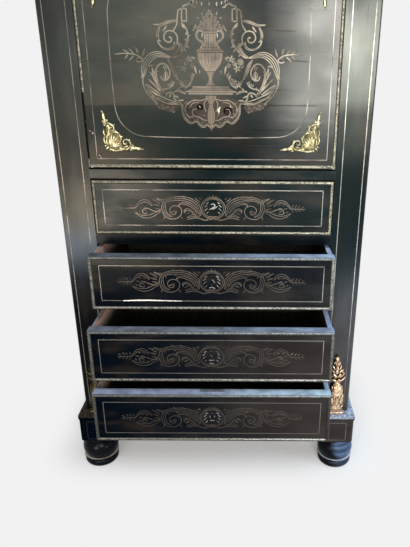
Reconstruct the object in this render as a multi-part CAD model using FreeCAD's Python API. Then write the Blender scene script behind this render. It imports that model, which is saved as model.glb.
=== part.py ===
import FreeCAD, Part
import math
import os

# A drop-front secretary in ebonised wood with brass beads and gilt-bronze mounts.
# Millimetres. X runs to the right, Y into the desk from its front face, Z up from the floor.
# The desk is drawn with its leaf shut and three drawers pulled out, and is centred on its
# own footprint when it is written out.

# Driving dimensions: carcass
CARCASS_W = 650.0
CARCASS_D = 360.0
STILE_W = 69.0
STILE_T = 25.0
STILE_CHAMFER = 3.0
SIDE_T = 20.0
BACK_T = 10.0
BACK_BOARDS = 4
BACK_BOARD_GAP = 0.6
BOTTOM_BOARD_T = 16.0
DUST_BOARD_T = 8.0
RUNNER_LAP = 15.0
GUIDE_H = 15.0
GUIDE_GAP = 0.5

# Driving dimensions: heights of the front, from the floor up
FOOT_H = 80.0
PLINTH_H = 62.0
PLINTH_CAP_T = 8.0
BOTTOM_RAIL_H = 28.0
DRAWER_OPENING_H = 120.0
RAIL_H = 22.0
LEAF_BOTTOM_GAP = 1.4
LEAF_H = 411.0
LEAF_TOP_GAP = 1.0
FRIEZE_OPENING_H = 86.0
TOP_RAIL_H = 22.0
TOP_T = 22.0

# Driving dimensions: plinth and feet
PLINTH_SIDE_OUT = 12.0
PLINTH_FRONT_OUT = 32.5
PLINTH_MIDDLE_SETBACK = 12.0
PLINTH_BOARD_T = 20.0
PLINTH_CORNER_R = 10.0
BLOCK_W = 75.5
BLOCK_D = 74.0
CAP_LIP = 2.0
CAP_EDGE_R = 1.8
FOOT_R = 43.5
FOOT_NECK_R = 33.0
FOOT_NECK_H = 7.0
FOOT_WAIST_R = 38.5
FOOT_RING_R = 42.5
FOOT_RING_H = 4.0
FOOT_GROOVE_R = 38.5
FOOT_GROOVE_H = 3.0
FOOT_DISC_R = 41.5
FOOT_DISC_H = 20.0
FOOT_SOLE_R = 33.0
FOOT_TENON_R = 11.0
FOOT_TENON_H = 28.0
TENON_CLEAR = 0.1
BACK_FOOT_IN = 3.0

# Driving dimensions: cornice and top
CORNICE_OUT = 18.0
CORNICE_H = 20.0
CORNICE_FILLET = 4.0
TOP_OUT = 24.0
TOP_EDGE_R = 8.0

# Driving dimensions: leaf, its pivots and its quadrant stays
LEAF_T = 22.0
LEAF_SIDE_GAP = 1.0
PIVOT_RISE = 12.0
PIVOT_R = 4.0
PIVOT_CLEAR = 0.05
PIVOT_SINK = 30.0
PIVOT_PLATE_T = 3.0
PIVOT_PLATE_W = 16.0
PIVOT_PLATE_H = 36.0
PIVOT_TAIL = 5.0
COVE_CLEAR = 0.5
STAY_R = 150.0
STAY_W = 12.0
STAY_T = 4.0
STAY_FOOT_T = 2.0
STAY_FOOT_W = 10.0
STAY_FOOT_LAP = 12.0
STAY_LUG_R = 2.5
STAY_LUG_OUT = 2.6
STAY_TAIL = 3.2
STAY_CLEAR = 0.4
STAY_GUIDE_T = 4.0
STAY_GUIDE_RIM = 5.0
LEATHER_T = 1.2
LEATHER_MARGIN_X = 46.0
LEATHER_MARGIN_Z = 44.0
LEATHER_CLEAR = 0.2

# Driving dimensions: the compartment behind the leaf
STAY_CHANNEL_W = 12.0
CHEEK_T = 8.0
CHEEK_SETBACK = 4.0
BED_T = 16.0
BED_BEARERS = 3
BEARER_W = 30.0
UNIT_SETBACK = 170.0
SHELF_T = 8.0
INNER_OPENING_H = 70.0
PIGEONHOLE_H = 150.0
INNER_FRONT_T = 10.0
INNER_SIDE_T = 6.0
INNER_BOTTOM_T = 4.0
INNER_BACK_CLEAR = 20.0
INNER_GAP = 0.5
KNOB_R = 8.0
KNOB_NECK_R = 4.0
KNOB_NECK_L = 6.0
KNOB_L = 16.0

# Driving dimensions: drawers and their locks
FRONT_T = 22.0
FRONT_GAP = 0.7
TOP_GAPS = {"frieze_drawer": 0.7, "drawer_1": 2.4, "drawer_2": 0.7, "drawer_3": 0.7, "drawer_4": 0.7}
KEY_RISES = {"frieze_drawer": 0.0, "drawer_1": 0.0, "drawer_2": 5.0, "drawer_3": 1.6, "drawer_4": 1.0}
FRONT_SIDE_GAP = 1.5
RUN_GAP = 0.3
BOX_SIDE_T = 10.0
BOX_SIDE_DROP = 6.0
BOX_BACK_DROP = 12.0
BOX_BACK_CLEAR = 18.0
BOX_BOTTOM_T = 6.0
BOX_BOTTOM_UP = 8.0
GROOVE = 5.0
DRAWER_PULLS = {"drawer_1": 0.0, "drawer_2": 82.0, "drawer_3": 139.0, "drawer_4": 154.0}
BEAD_W = 7.0
BEAD_PROUD = 3.0
LOCK_W = 54.0
LOCK_H = 42.0
LOCK_T = 11.0
BOLT_W = 18.0
BOLT_T = 5.0
BOLT_H = 14.0
BOLT_CLEAR = 0.2
KEYHOLE_R = 2.6
KEYHOLE_SLOT_W = 2.6
KEYHOLE_DROP = 8.0
LEAF_KEYHOLE_DOWN = 26.0
ESCUTCHEON_W = 18.0
ESCUTCHEON_H = 25.0
ESCUTCHEON_T = 0.8
KEEPER_W = 60.0
KEEPER_T = 1.5
KEEPER_D = 14.0

# Driving dimensions: gilt-bronze mounts
CORNER_MOUNT_LEG = 80.0
CORNER_MOUNT_T = 4.0
CORNER_MOUNT_IN_X = 36.0
CORNER_MOUNT_IN_Z = 34.0
STILE_MOUNT_IN = 31.0
STILE_MOUNT_BASE = 33.0
STILE_MOUNT_BASE_H = 13.0
STILE_MOUNT_DRUM_R = 14.0
STILE_MOUNT_DRUM_H = 43.0
STILE_MOUNT_DOME_H = 27.0
STILE_MOUNT_NECK_R = 6.0
STILE_MOUNT_FLARE_R = 16.0
STILE_MOUNT_FLARE_H = 24.0
STILE_MOUNT_BUD_R = 6.5
STILE_MOUNT_BUD_H = 48.0
STILE_MOUNT_TIP_R = 1.2

# Levels and spans worked out from the driving dimensions
half_carcass = CARCASS_W / 2
half_opening = half_carcass - STILE_W
side_inner = half_carcass - SIDE_T
back_inner = CARCASS_D - BACK_T
cap_z = FOOT_H + PLINTH_H
carcass_z = cap_z + PLINTH_CAP_T
first_opening_z = carcass_z + BOTTOM_RAIL_H
drawer_pitch = DRAWER_OPENING_H + RAIL_H
drawer_names = list(DRAWER_PULLS)
drawer_count = len(drawer_names)
opening_z = {}
for index, drawer_name in enumerate(reversed(drawer_names)):
    opening_z[drawer_name] = first_opening_z + index * drawer_pitch
leaf_rail_z = first_opening_z + drawer_count * drawer_pitch - RAIL_H
leaf_z = leaf_rail_z + RAIL_H + LEAF_BOTTOM_GAP
leaf_top = leaf_z + LEAF_H
upper_rail_z = leaf_top + LEAF_TOP_GAP
frieze_z = upper_rail_z + RAIL_H
top_rail_z = frieze_z + FRIEZE_OPENING_H
carcass_top = top_rail_z + TOP_RAIL_H
desk_top = carcass_top + TOP_T

half_leaf = half_opening - LEAF_SIDE_GAP
pivot_y = LEAF_T / 2
pivot_z = leaf_z + PIVOT_RISE
cove_r = math.hypot(LEAF_T / 2 + BEAD_PROUD, PIVOT_RISE) + COVE_CLEAR
bed_top = pivot_z + LEAF_T / 2
desk_floor = leaf_rail_z + DUST_BOARD_T
cheek_outer = half_opening - STAY_CHANNEL_W
cheek_inner = cheek_outer - CHEEK_T
cheek_front = LEAF_T + CHEEK_SETBACK
shelf_z = bed_top + INNER_OPENING_H
upper_shelf_z = shelf_z + SHELF_T + PIGEONHOLE_H
bay_w = (2 * cheek_inner - 2 * SHELF_T) / 3
half_front = half_opening - FRONT_SIDE_GAP
plinth_half = half_carcass + PLINTH_SIDE_OUT
block_inner = plinth_half - BLOCK_W
middle_out = PLINTH_FRONT_OUT - PLINTH_MIDDLE_SETBACK
foot_x = plinth_half - BLOCK_W / 2
front_foot_y = BLOCK_D / 2 - PLINTH_FRONT_OUT
back_foot_y = CARCASS_D - FOOT_R - BACK_FOOT_IN
foot_x_back = foot_x - PLINTH_BOARD_T / 2

# The desk's reach at rest gives the shift that centres it on its footprint.
front_reach = max(max(DRAWER_PULLS.values()) + BEAD_PROUD, PLINTH_FRONT_OUT + CAP_LIP, TOP_OUT)
origin_shift = FreeCAD.Vector(0, (front_reach - CARCASS_D) / 2, 0)

pieces = {}


def vec(x, y, z):
    return FreeCAD.Vector(x, y, z)


def board(x, y, z):
    """A square-edged board, from its two ends along each axis."""
    return Part.makeBox(x[1] - x[0], y[1] - y[0], z[1] - z[0], vec(x[0], y[0], z[0]))


def lifted(axis, a, b, c):
    """A point of a flat outline drawn across the named axis, at the height c along it."""
    return {"x": vec(c, a, b), "y": vec(a, c, b), "z": vec(a, b, c)}[axis]


def prism(axis, outline, span):
    """A flat outline of straight edges, pushed along an axis through a span."""
    corners = [lifted(axis, a, b, span[0]) for a, b in outline]
    face = Part.Face(Part.makePolygon(corners + corners[:1]))
    return face.extrude(lifted(axis, 0, 0, span[1] - span[0]))


def rod(axis, a, b, span, radius):
    """A round bar along an axis, through the point a, b of the plane across it."""
    start = lifted(axis, a, b, span[0])
    return Part.makeCylinder(radius, span[1] - span[0], start, lifted(axis, 0, 0, 1))


def turned(profile, x, y, z):
    """A solid of revolution about the vertical through x, y. A profile entry is the next
    radius and height, or a point that an arc passes through and then the arc's end."""
    start = profile[0]
    edges = []
    for entry in profile[1:]:
        end = entry[-2:]
        low = vec(x + start[0], y, z + start[1])
        high = vec(x + end[0], y, z + end[1])
        if len(entry) == 2:
            edges.append(Part.makeLine(low, high))
        else:
            middle = vec(x + entry[0], y, z + entry[1])
            edges.append(Part.Arc(low, middle, high).toShape())
        start = end
    foot = vec(x, y, z + profile[0][1])
    head = vec(x, y, z + start[1])
    edges.append(Part.makeLine(vec(x + start[0], y, z + start[1]), head))
    edges.append(Part.makeLine(head, foot))
    edges.append(Part.makeLine(foot, vec(x + profile[0][0], y, z + profile[0][1])))
    return Part.Face(Part.Wire(edges)).revolve(vec(x, y, z), vec(0, 0, 1), 360)


def mirrored(shape):
    return shape.mirror(vec(0, 0, 0), vec(1, 0, 0))


def both_sides(shape):
    return [shape, mirrored(shape)]


def edges_at(shape, test):
    """The straight edges of a shape whose middle passes a test."""
    return [edge for edge in shape.Edges if test(edge.CenterOfMass, edge.BoundBox)]


def keyhole(z, depth):
    """The cutter for a keyhole through a front, with its round part at height z."""
    barrel = rod("y", 0, z, (-ESCUTCHEON_T, depth), KEYHOLE_R)
    half_slot = KEYHOLE_SLOT_W / 2
    slot = board((-half_slot, half_slot), (-ESCUTCHEON_T, depth), (z - KEYHOLE_DROP, z))
    return barrel.fuse(slot).removeSplitter()


def bead_frame(half_w, low, high):
    """Four mitred half-round brass beads round the edge of a front face."""
    rod_r = (BEAD_W ** 2 / 4 + BEAD_PROUD ** 2) / (2 * BEAD_PROUD)
    rod_y = rod_r - BEAD_PROUD
    half_in = half_w - BEAD_W
    face = (-BEAD_PROUD, 0)
    bottom = prism("y", [(-half_w, low), (half_w, low), (half_in, low + BEAD_W), (-half_in, low + BEAD_W)], face)
    top = prism("y", [(-half_w, high), (half_w, high), (half_in, high - BEAD_W), (-half_in, high - BEAD_W)], face)
    right = prism("y", [(half_w, low), (half_w, high), (half_in, high - BEAD_W), (half_in, low + BEAD_W)], face)
    upright = rod("z", half_w - BEAD_W / 2, rod_y, (low, high), rod_r)
    beads = []
    for mitre, z in ((bottom, low + BEAD_W / 2), (top, high - BEAD_W / 2)):
        beads.append(mitre.common(rod("x", rod_y, z, (-half_w, half_w), rod_r)))
    beads += both_sides(right.common(upright))
    return beads


def lock(top, thickness):
    """A lock let into the top edge and back of a front: case and bolt, both below the edge."""
    case_y = (thickness - LOCK_T, thickness)
    case = board((-LOCK_W / 2, LOCK_W / 2), case_y, (top - LOCK_H, top))
    bolt_y = (thickness - LOCK_T / 2 - BOLT_T / 2, thickness - LOCK_T / 2 + BOLT_T / 2)
    bolt = board((-BOLT_W / 2, BOLT_W / 2), bolt_y, (top - BOLT_H, top))
    pocket = board(
        (-BOLT_W / 2 - BOLT_CLEAR, BOLT_W / 2 + BOLT_CLEAR),
        (bolt_y[0] - BOLT_CLEAR, bolt_y[1] + BOLT_CLEAR),
        (top - BOLT_H, top),
    )
    return case, case.cut(pocket), bolt


def escutcheon(z):
    """An oval keyhole plate on a front face."""
    oval = Part.Ellipse(vec(0, 0, 0), ESCUTCHEON_H / 2, ESCUTCHEON_W / 2).toShape()
    plate = Part.Face(Part.Wire([oval])).extrude(vec(0, 0, ESCUTCHEON_T))
    plate.rotate(vec(0, 0, 0), vec(0, 0, 1), 90)
    plate.rotate(vec(0, 0, 0), vec(1, 0, 0), 90)
    plate.translate(vec(0, 0, z))
    return plate


def fitted_front(front, low, high, thickness, hole_z):
    """A front with its lock and keyhole cut, and the lock's own pieces."""
    mortise, case, bolt = lock(high, thickness)
    hole = keyhole(hole_z, thickness - LOCK_T)
    return front.cut(mortise).cut(hole), [case, bolt, escutcheon(hole_z).cut(hole)]


def drawer(name, floor_z, opening_h, pull):
    """One drawer: front, box, bead and lock, pulled out towards the front."""
    low = floor_z + FRONT_GAP
    high = floor_z + opening_h - TOP_GAPS[name]
    end = back_inner - BOX_BACK_CLEAR
    side_in = half_front - BOX_SIDE_T
    bottom_z = (floor_z + BOX_BOTTOM_UP, floor_z + BOX_BOTTOM_UP + BOX_BOTTOM_T)
    bottom = board((-side_in - GROOVE, side_in + GROOVE), (FRONT_T - GROOVE, end), bottom_z)
    front = board((-half_front, half_front), (0, FRONT_T), (low, high)).cut(bottom)
    front, fittings = fitted_front(front, low, high, FRONT_T, (low + high) / 2 + KEY_RISES[name])
    side = board((side_in, half_front), (FRONT_T, end), (floor_z + RUN_GAP, high - BOX_SIDE_DROP)).cut(bottom)
    back = board((-side_in, side_in), (end - BOX_SIDE_T, end), (bottom_z[1], high - BOX_BACK_DROP))
    made = {
        "front": [front],
        "box": both_sides(side) + [back, bottom],
        "bead": bead_frame(half_front, low, high),
        "lock": fittings,
    }
    for part_name, solids in made.items():
        for solid in solids:
            solid.translate(vec(0, -pull, 0))
        pieces[name + "_" + part_name] = solids


def inner_drawer(name, x):
    """A small drawer of the compartment, in the bay centred on x."""
    half_w = bay_w / 2 - INNER_GAP
    low = bed_top + INNER_GAP
    high = shelf_z - INNER_GAP
    box_y = (UNIT_SETBACK + INNER_FRONT_T, back_inner - INNER_BACK_CLEAR)
    front = board((x - half_w, x + half_w), (UNIT_SETBACK, box_y[0]), (low, high))
    knob_profile = [
        (KNOB_NECK_R, 0),
        (KNOB_NECK_R, KNOB_NECK_L),
        (KNOB_R, (KNOB_NECK_L + KNOB_L) / 2, KNOB_NECK_R, KNOB_L),
    ]
    knob = turned(knob_profile, 0, 0, 0)
    knob.rotate(vec(0, 0, 0), vec(1, 0, 0), 90)
    knob.translate(vec(x, UNIT_SETBACK, (low + high) / 2))
    floor = board((x - half_w + INNER_SIDE_T, x + half_w - INNER_SIDE_T), box_y, (low, low + INNER_BOTTOM_T))
    walls_z = (low, high - BOX_SIDE_DROP)
    left = board((x - half_w, x - half_w + INNER_SIDE_T), box_y, walls_z)
    right = board((x + half_w - INNER_SIDE_T, x + half_w), box_y, walls_z)
    back = board(
        (x - half_w + INNER_SIDE_T, x + half_w - INNER_SIDE_T),
        (box_y[1] - INNER_SIDE_T, box_y[1]),
        (low + INNER_BOTTOM_T, walls_z[1]),
    )
    pieces[name + "_front"] = [front, knob]
    pieces[name + "_box"] = [left, right, back, floor]


def carcass():
    """Stiles, sides, back, bottom, rails, runners and dust boards."""
    outline = [
        (half_opening, 0),
        (half_carcass - STILE_CHAMFER, 0),
        (half_carcass, STILE_CHAMFER),
        (half_carcass, STILE_T),
        (half_opening, STILE_T),
    ]
    stile = prism("z", outline, (carcass_z, carcass_top))
    plate_x = (half_opening, half_opening + PIVOT_PLATE_T)
    plate_y = (pivot_y - PIVOT_PLATE_W / 2, pivot_y + PIVOT_PLATE_W / 2)
    plate_z = (pivot_z - PIVOT_PLATE_H / 2, pivot_z + PIVOT_PLATE_H / 2)
    plate = board(plate_x, plate_y, plate_z)
    tail_x = (plate_x[1], plate_x[1] + PIVOT_TAIL)
    tail = rod("x", pivot_y, pivot_z, tail_x, PIVOT_R + COVE_CLEAR)
    stile = stile.cut(plate).cut(tail)
    bore = rod("x", pivot_y, pivot_z, plate_x, PIVOT_R + PIVOT_CLEAR)
    pieces["stile_right"] = [stile]
    pieces["stile_left"] = [mirrored(stile)]
    pieces["pivot_plates"] = both_sides(plate.cut(bore))

    side = board((side_inner, half_carcass), (STILE_T, CARCASS_D), (carcass_z, carcass_top))
    pieces["side_right"] = [side]
    pieces["side_left"] = [mirrored(side)]
    board_w = 2 * side_inner / BACK_BOARDS
    back_boards = []
    for index in range(BACK_BOARDS):
        left = -side_inner + index * board_w
        span = (left + BACK_BOARD_GAP / 2, left + board_w - BACK_BOARD_GAP / 2)
        back_boards.append(board(span, (back_inner, CARCASS_D), (carcass_z, carcass_top)))
    pieces["back_boards"] = back_boards
    full_x = (-side_inner, side_inner)
    inside_y = (STILE_T, back_inner)
    pieces["bottom_board"] = [board(full_x, inside_y, (carcass_z, carcass_z + BOTTOM_BOARD_T))]

    rail_x = (-half_opening, half_opening)
    rail_y = (0, STILE_T)
    keeper_x = (-KEEPER_W / 2, KEEPER_W / 2)
    keeper_y = (LEAF_T - KEEPER_D, LEAF_T)
    keeper = board(keeper_x, keeper_y, (upper_rail_z, upper_rail_z + KEEPER_T))
    bolt_y = LEAF_T - LOCK_T / 2
    strike = board(
        (-BOLT_W / 2 - BOLT_CLEAR, BOLT_W / 2 + BOLT_CLEAR),
        (bolt_y - BOLT_T / 2 - BOLT_CLEAR, bolt_y + BOLT_T / 2 + BOLT_CLEAR),
        (upper_rail_z, upper_rail_z + BOLT_H),
    )
    over_leaf = board(rail_x, rail_y, (upper_rail_z, frieze_z)).cut(keeper).cut(strike)
    pieces["leaf_keeper"] = [keeper.cut(strike)]
    pieces["upper_rails"] = [over_leaf, board(rail_x, rail_y, (top_rail_z, carcass_top))]
    cove = rod("x", pivot_y, pivot_z, rail_x, cove_r)
    pieces["rail_below_leaf"] = [board(rail_x, rail_y, (leaf_rail_z, leaf_rail_z + RAIL_H)).cut(cove)]
    pieces["bottom_rail"] = [board(rail_x, rail_y, (carcass_z, first_opening_z))]
    rail_levels = [opening_z[name] - RAIL_H for name in drawer_names[:-1]]
    pieces["drawer_rails"] = [board(rail_x, rail_y, (z, z + RAIL_H)) for z in rail_levels]

    runner_in = half_front - RUNNER_LAP
    runners = []
    dust_boards = [board(full_x, inside_y, (leaf_rail_z, desk_floor))]
    dust_boards.append(board(full_x, inside_y, (upper_rail_z, frieze_z)))
    tops = [(carcass_z + BOTTOM_BOARD_T, first_opening_z)] + [(z, z + RAIL_H) for z in rail_levels]
    for low, high in tops:
        runners += both_sides(board((runner_in, side_inner), inside_y, (low, high)))
    for level in rail_levels:
        middle = level + RAIL_H / 2
        span = (middle - DUST_BOARD_T / 2, middle + DUST_BOARD_T / 2)
        dust_boards.append(board((-runner_in, runner_in), inside_y, span))
    for top in [high for low, high in tops] + [frieze_z]:
        runners += both_sides(board((half_front + GUIDE_GAP, side_inner), inside_y, (top, top + GUIDE_H)))
    pieces["drawer_runners"] = runners
    pieces["dust_boards"] = dust_boards


def cornice_and_top():
    """The cove moulding under the top, mitred at its corners, and the top board."""
    low = carcass_top - CORNICE_H
    near = CORNICE_FILLET
    far = CORNICE_OUT
    rise = CORNICE_H - 2 * CORNICE_FILLET
    run = far - near
    cove_top = carcass_top - CORNICE_FILLET

    def section(point):
        corners = [(0, low), (near, low), (near, low + CORNICE_FILLET)]
        hollow = (near + run * (1 - math.sqrt(0.5)), low + CORNICE_FILLET + rise * math.sqrt(0.5))
        edges = [Part.makeLine(point(*corners[0]), point(*corners[1]))]
        edges.append(Part.makeLine(point(*corners[1]), point(*corners[2])))
        edges.append(Part.Arc(point(*corners[2]), point(*hollow), point(far, cove_top)).toShape())
        edges.append(Part.makeLine(point(far, cove_top), point(far, carcass_top)))
        edges.append(Part.makeLine(point(far, carcass_top), point(0, carcass_top)))
        edges.append(Part.makeLine(point(0, carcass_top), point(*corners[0])))
        return Part.Face(Part.Wire(edges))

    reach = half_carcass + far
    heights = (low, carcass_top)
    front = section(lambda out, z: vec(-reach, -out, z)).extrude(vec(2 * reach, 0, 0))
    front_mitre = [(-half_carcass, 0), (half_carcass, 0), (reach, -far), (-reach, -far)]
    flank = section(lambda out, z: vec(half_carcass + out, -far, z)).extrude(vec(0, CARCASS_D + far, 0))
    flank_mitre = [(half_carcass, 0), (half_carcass, CARCASS_D), (reach, CARCASS_D), (reach, -far)]
    moulding = [front.common(prism("z", front_mitre, heights))]
    moulding += both_sides(flank.common(prism("z", flank_mitre, heights)))
    pieces["cornice"] = moulding
    reach = half_carcass + TOP_OUT
    top = board((-reach, reach), (-TOP_OUT, CARCASS_D), (carcass_top, desk_top))
    upper = edges_at(top, lambda middle, box: box.ZMin > carcass_top + TOP_T / 2 and middle.y < CARCASS_D - 1)
    pieces["top_board"] = [top.makeFillet(min(TOP_EDGE_R, TOP_T / 2), upper)]


def plinth_and_feet():
    """The plinth with its breakfront corner blocks, its cap, and four turned feet."""
    heights = (FOOT_H, cap_z)
    plinth_front = -PLINTH_FRONT_OUT
    block_back = plinth_front + BLOCK_D
    front_block = board((block_inner, plinth_half), (plinth_front, block_back), heights)
    corner = edges_at(
        front_block,
        lambda middle, box: middle.x > plinth_half - 1 and middle.y < plinth_front + 1 and box.ZLength > 1,
    )
    front_block = front_block.makeFillet(PLINTH_CORNER_R, corner)
    inner = plinth_half - PLINTH_BOARD_T
    back_block = board(
        (inner - BLOCK_W + PLINTH_BOARD_T, inner),
        (CARCASS_D - BLOCK_D, CARCASS_D - PLINTH_BOARD_T),
        heights,
    )
    tenon_r = FOOT_TENON_R + TENON_CLEAR
    socket = (FOOT_H, FOOT_H + FOOT_TENON_H + TENON_CLEAR)
    front_block = front_block.cut(rod("z", foot_x, front_foot_y, socket, tenon_r))
    back_block = back_block.cut(rod("z", foot_x_back, back_foot_y, socket, tenon_r))
    pieces["plinth_blocks"] = both_sides(front_block) + both_sides(back_block)

    middle = board((-block_inner, block_inner), (-middle_out, PLINTH_BOARD_T - middle_out), heights)
    flank = board((inner, plinth_half), (block_back, CARCASS_D), heights)
    rear = board((-inner, inner), (CARCASS_D - PLINTH_BOARD_T, CARCASS_D), heights)
    pieces["plinth_boards"] = [middle] + both_sides(flank) + [rear]

    reach = plinth_half + CAP_LIP
    cap_in = block_inner - CAP_LIP
    cap_front = plinth_front - CAP_LIP
    right_edge = [(cap_in, -middle_out - CAP_LIP), (cap_in, cap_front), (reach, cap_front), (reach, CARCASS_D)]
    left_edge = [(-x, y) for x, y in reversed(right_edge)]
    cap = prism("z", right_edge + left_edge, (cap_z, carcass_z))
    corners = edges_at(
        cap,
        lambda point, box: abs(point.x) > reach - 1 and point.y < cap_front + 1 and box.ZLength > 1,
    )
    cap = cap.makeFillet(PLINTH_CORNER_R + CAP_LIP, corners)
    upper = edges_at(
        cap,
        lambda point, box: box.ZMin > cap_z + PLINTH_CAP_T / 2 and point.y < cap_front + 1,
    )
    pieces["plinth_cap"] = [cap.makeFillet(min(CAP_EDGE_R, PLINTH_CAP_T / 2), upper)]

    ring_z = FOOT_DISC_H + FOOT_GROOVE_H
    bulb_z = ring_z + FOOT_RING_H
    bulb_top = FOOT_H - FOOT_NECK_H
    profile = [
        (FOOT_SOLE_R, 0),
        (FOOT_DISC_R, FOOT_DISC_H / 2, FOOT_GROOVE_R, FOOT_DISC_H),
        (FOOT_GROOVE_R, ring_z),
        (FOOT_RING_R, ring_z),
        (FOOT_RING_R, bulb_z),
        (FOOT_WAIST_R, bulb_z),
        (FOOT_R, (bulb_z + bulb_top) / 2, FOOT_NECK_R, bulb_top),
        (FOOT_NECK_R, FOOT_H),
        (FOOT_TENON_R, FOOT_H),
        (FOOT_TENON_R, FOOT_H + FOOT_TENON_H),
    ]
    front_foot = turned(profile, foot_x, front_foot_y, 0)
    back_foot = turned(profile, foot_x_back, back_foot_y, 0)
    pieces["feet"] = both_sides(front_foot) + both_sides(back_foot)


def leaf():
    """The drop leaf on its pivots, with bead, mounts, lock, leather and quadrant stays."""
    panel = board((-half_leaf, half_leaf), (0, LEAF_T), (leaf_z, leaf_top))
    panel, fittings = fitted_front(panel, leaf_z, leaf_top, LEAF_T, leaf_top - LEAF_KEYHOLE_DOWN)
    leather_x = half_leaf - LEATHER_MARGIN_X
    leather_z = (leaf_z + LEATHER_MARGIN_Z, leaf_top - LEATHER_MARGIN_Z)
    skin = (LEAF_T - LEATHER_T, LEAF_T)
    panel = panel.cut(board((-leather_x, leather_x), skin, leather_z))
    leather = board(
        (-leather_x + LEATHER_CLEAR, leather_x - LEATHER_CLEAR),
        skin,
        (leather_z[0] + LEATHER_CLEAR, leather_z[1] - LEATHER_CLEAR),
    )
    pin_x = (half_leaf - PIVOT_SINK, half_opening + PIVOT_PLATE_T + PIVOT_TAIL - COVE_CLEAR)
    pin = rod("x", pivot_y, pivot_z, pin_x, PIVOT_R)
    for hole in both_sides(pin):
        panel = panel.cut(hole)
    pieces["leaf_panel"] = [panel]
    pieces["leaf_bead"] = bead_frame(half_leaf, leaf_z, leaf_top)
    pieces["leaf_lock"] = fittings
    pieces["writing_leather"] = [leather]
    pieces["pivot_pins"] = both_sides(pin)

    stay_x = half_opening - STAY_CHANNEL_W / 2
    pieces["quadrant_stays"] = both_sides(quadrant_stay(stay_x))
    pieces["stay_guides"] = both_sides(stay_guide(stay_x))


def quadrant_stay(x):
    """An arc about the pivots: foot screwed to the leaf, and a lug that stops at the guide."""
    span = (x - STAY_T / 2, x + STAY_T / 2)
    inner = STAY_R - STAY_W / 2
    outer = STAY_R + STAY_W / 2
    guide_back = cheek_front + STAY_GUIDE_T
    lug_angle = -math.asin((guide_back + STAY_CLEAR + STAY_LUG_R - pivot_y) / STAY_R)
    tail_angle = lug_angle - STAY_TAIL / STAY_R

    def point(radius, angle):
        return vec(span[0], pivot_y + radius * math.cos(angle), pivot_z + radius * math.sin(angle))

    def arc(radius):
        leaf_angle = math.acos((LEAF_T - pivot_y) / radius)
        middle = (tail_angle + leaf_angle) / 2
        return Part.Arc(point(radius, tail_angle), point(radius, middle), point(radius, leaf_angle)).toShape()

    arcs = [arc(inner), arc(outer)]
    ends = [Part.makeLine(arcs[0].Vertexes[i].Point, arcs[1].Vertexes[i].Point) for i in (0, 1)]
    wire = Part.Wire(Part.sortEdges(arcs + ends)[0])
    bow = Part.Face(wire).extrude(vec(STAY_T, 0, 0))
    foot = board(
        (x - STAY_FOOT_W / 2, x + STAY_FOOT_W / 2),
        (LEAF_T, LEAF_T + STAY_FOOT_T),
        (pivot_z + inner - STAY_FOOT_LAP, pivot_z + outer + STAY_FOOT_LAP),
    )
    lug_point = point(STAY_R, lug_angle)
    lug = rod("x", lug_point.y, lug_point.z, (span[0], span[1] + STAY_LUG_OUT), STAY_LUG_R)
    return bow.fuse(foot).fuse(lug).removeSplitter()


def stay_guide(x):
    """A slotted block on a cheek's outer face, which the stay slides through."""
    y = (cheek_front, cheek_front + STAY_GUIDE_T)
    angle_z = []
    for radius, reach in ((STAY_R - STAY_W / 2, y[1]), (STAY_R + STAY_W / 2, y[0])):
        angle_z.append(pivot_z + math.sqrt(radius ** 2 - (reach - pivot_y) ** 2))
    slot_z = (angle_z[0] - STAY_CLEAR, angle_z[1] + STAY_CLEAR)
    half_slot = STAY_T / 2 + STAY_CLEAR
    slot = board((x - half_slot, x + half_slot), y, slot_z)
    frame_z = (slot_z[0] - STAY_GUIDE_RIM, slot_z[1] + STAY_GUIDE_RIM)
    frame = board((cheek_outer, x + half_slot + STAY_LUG_OUT), y, frame_z)
    return frame.cut(slot)


def compartment():
    """The bed, cheeks, shelves and dividers behind the leaf, with two small drawers."""
    cove = rod("x", pivot_y, pivot_z, (-cheek_outer, cheek_outer), cove_r)
    bed = board((-cheek_inner, cheek_inner), (LEAF_T, back_inner), (bed_top - BED_T, bed_top))
    pieces["desk_bed"] = [bed.cut(cove)]
    first = -cheek_inner
    last = cheek_inner - BEARER_W
    bearers = []
    for index in range(BED_BEARERS):
        left = first + (last - first) * index / (BED_BEARERS - 1)
        bearers.append(board((left, left + BEARER_W), (STILE_T + BEARER_W, back_inner), (desk_floor, bed_top - BED_T)))
    pieces["bed_bearers"] = bearers
    cheek = board((cheek_inner, cheek_outer), (cheek_front, back_inner), (desk_floor, upper_rail_z)).cut(cove)
    pieces["cheeks"] = both_sides(cheek)

    unit_y = (UNIT_SETBACK, back_inner)
    shelf_x = (-cheek_inner, cheek_inner)
    pieces["inner_shelves"] = [
        board(shelf_x, unit_y, (shelf_z, shelf_z + SHELF_T)),
        board(shelf_x, unit_y, (upper_shelf_z, upper_shelf_z + SHELF_T)),
    ]
    dividers = []
    for low, high in ((bed_top, shelf_z), (shelf_z + SHELF_T, upper_shelf_z)):
        dividers += both_sides(board((bay_w / 2, bay_w / 2 + SHELF_T), unit_y, (low, high)))
    pieces["inner_dividers"] = dividers
    bay_pitch = bay_w + SHELF_T
    inner_drawer("inner_drawer_left", -bay_pitch)
    inner_drawer("inner_drawer_right", bay_pitch)


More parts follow.
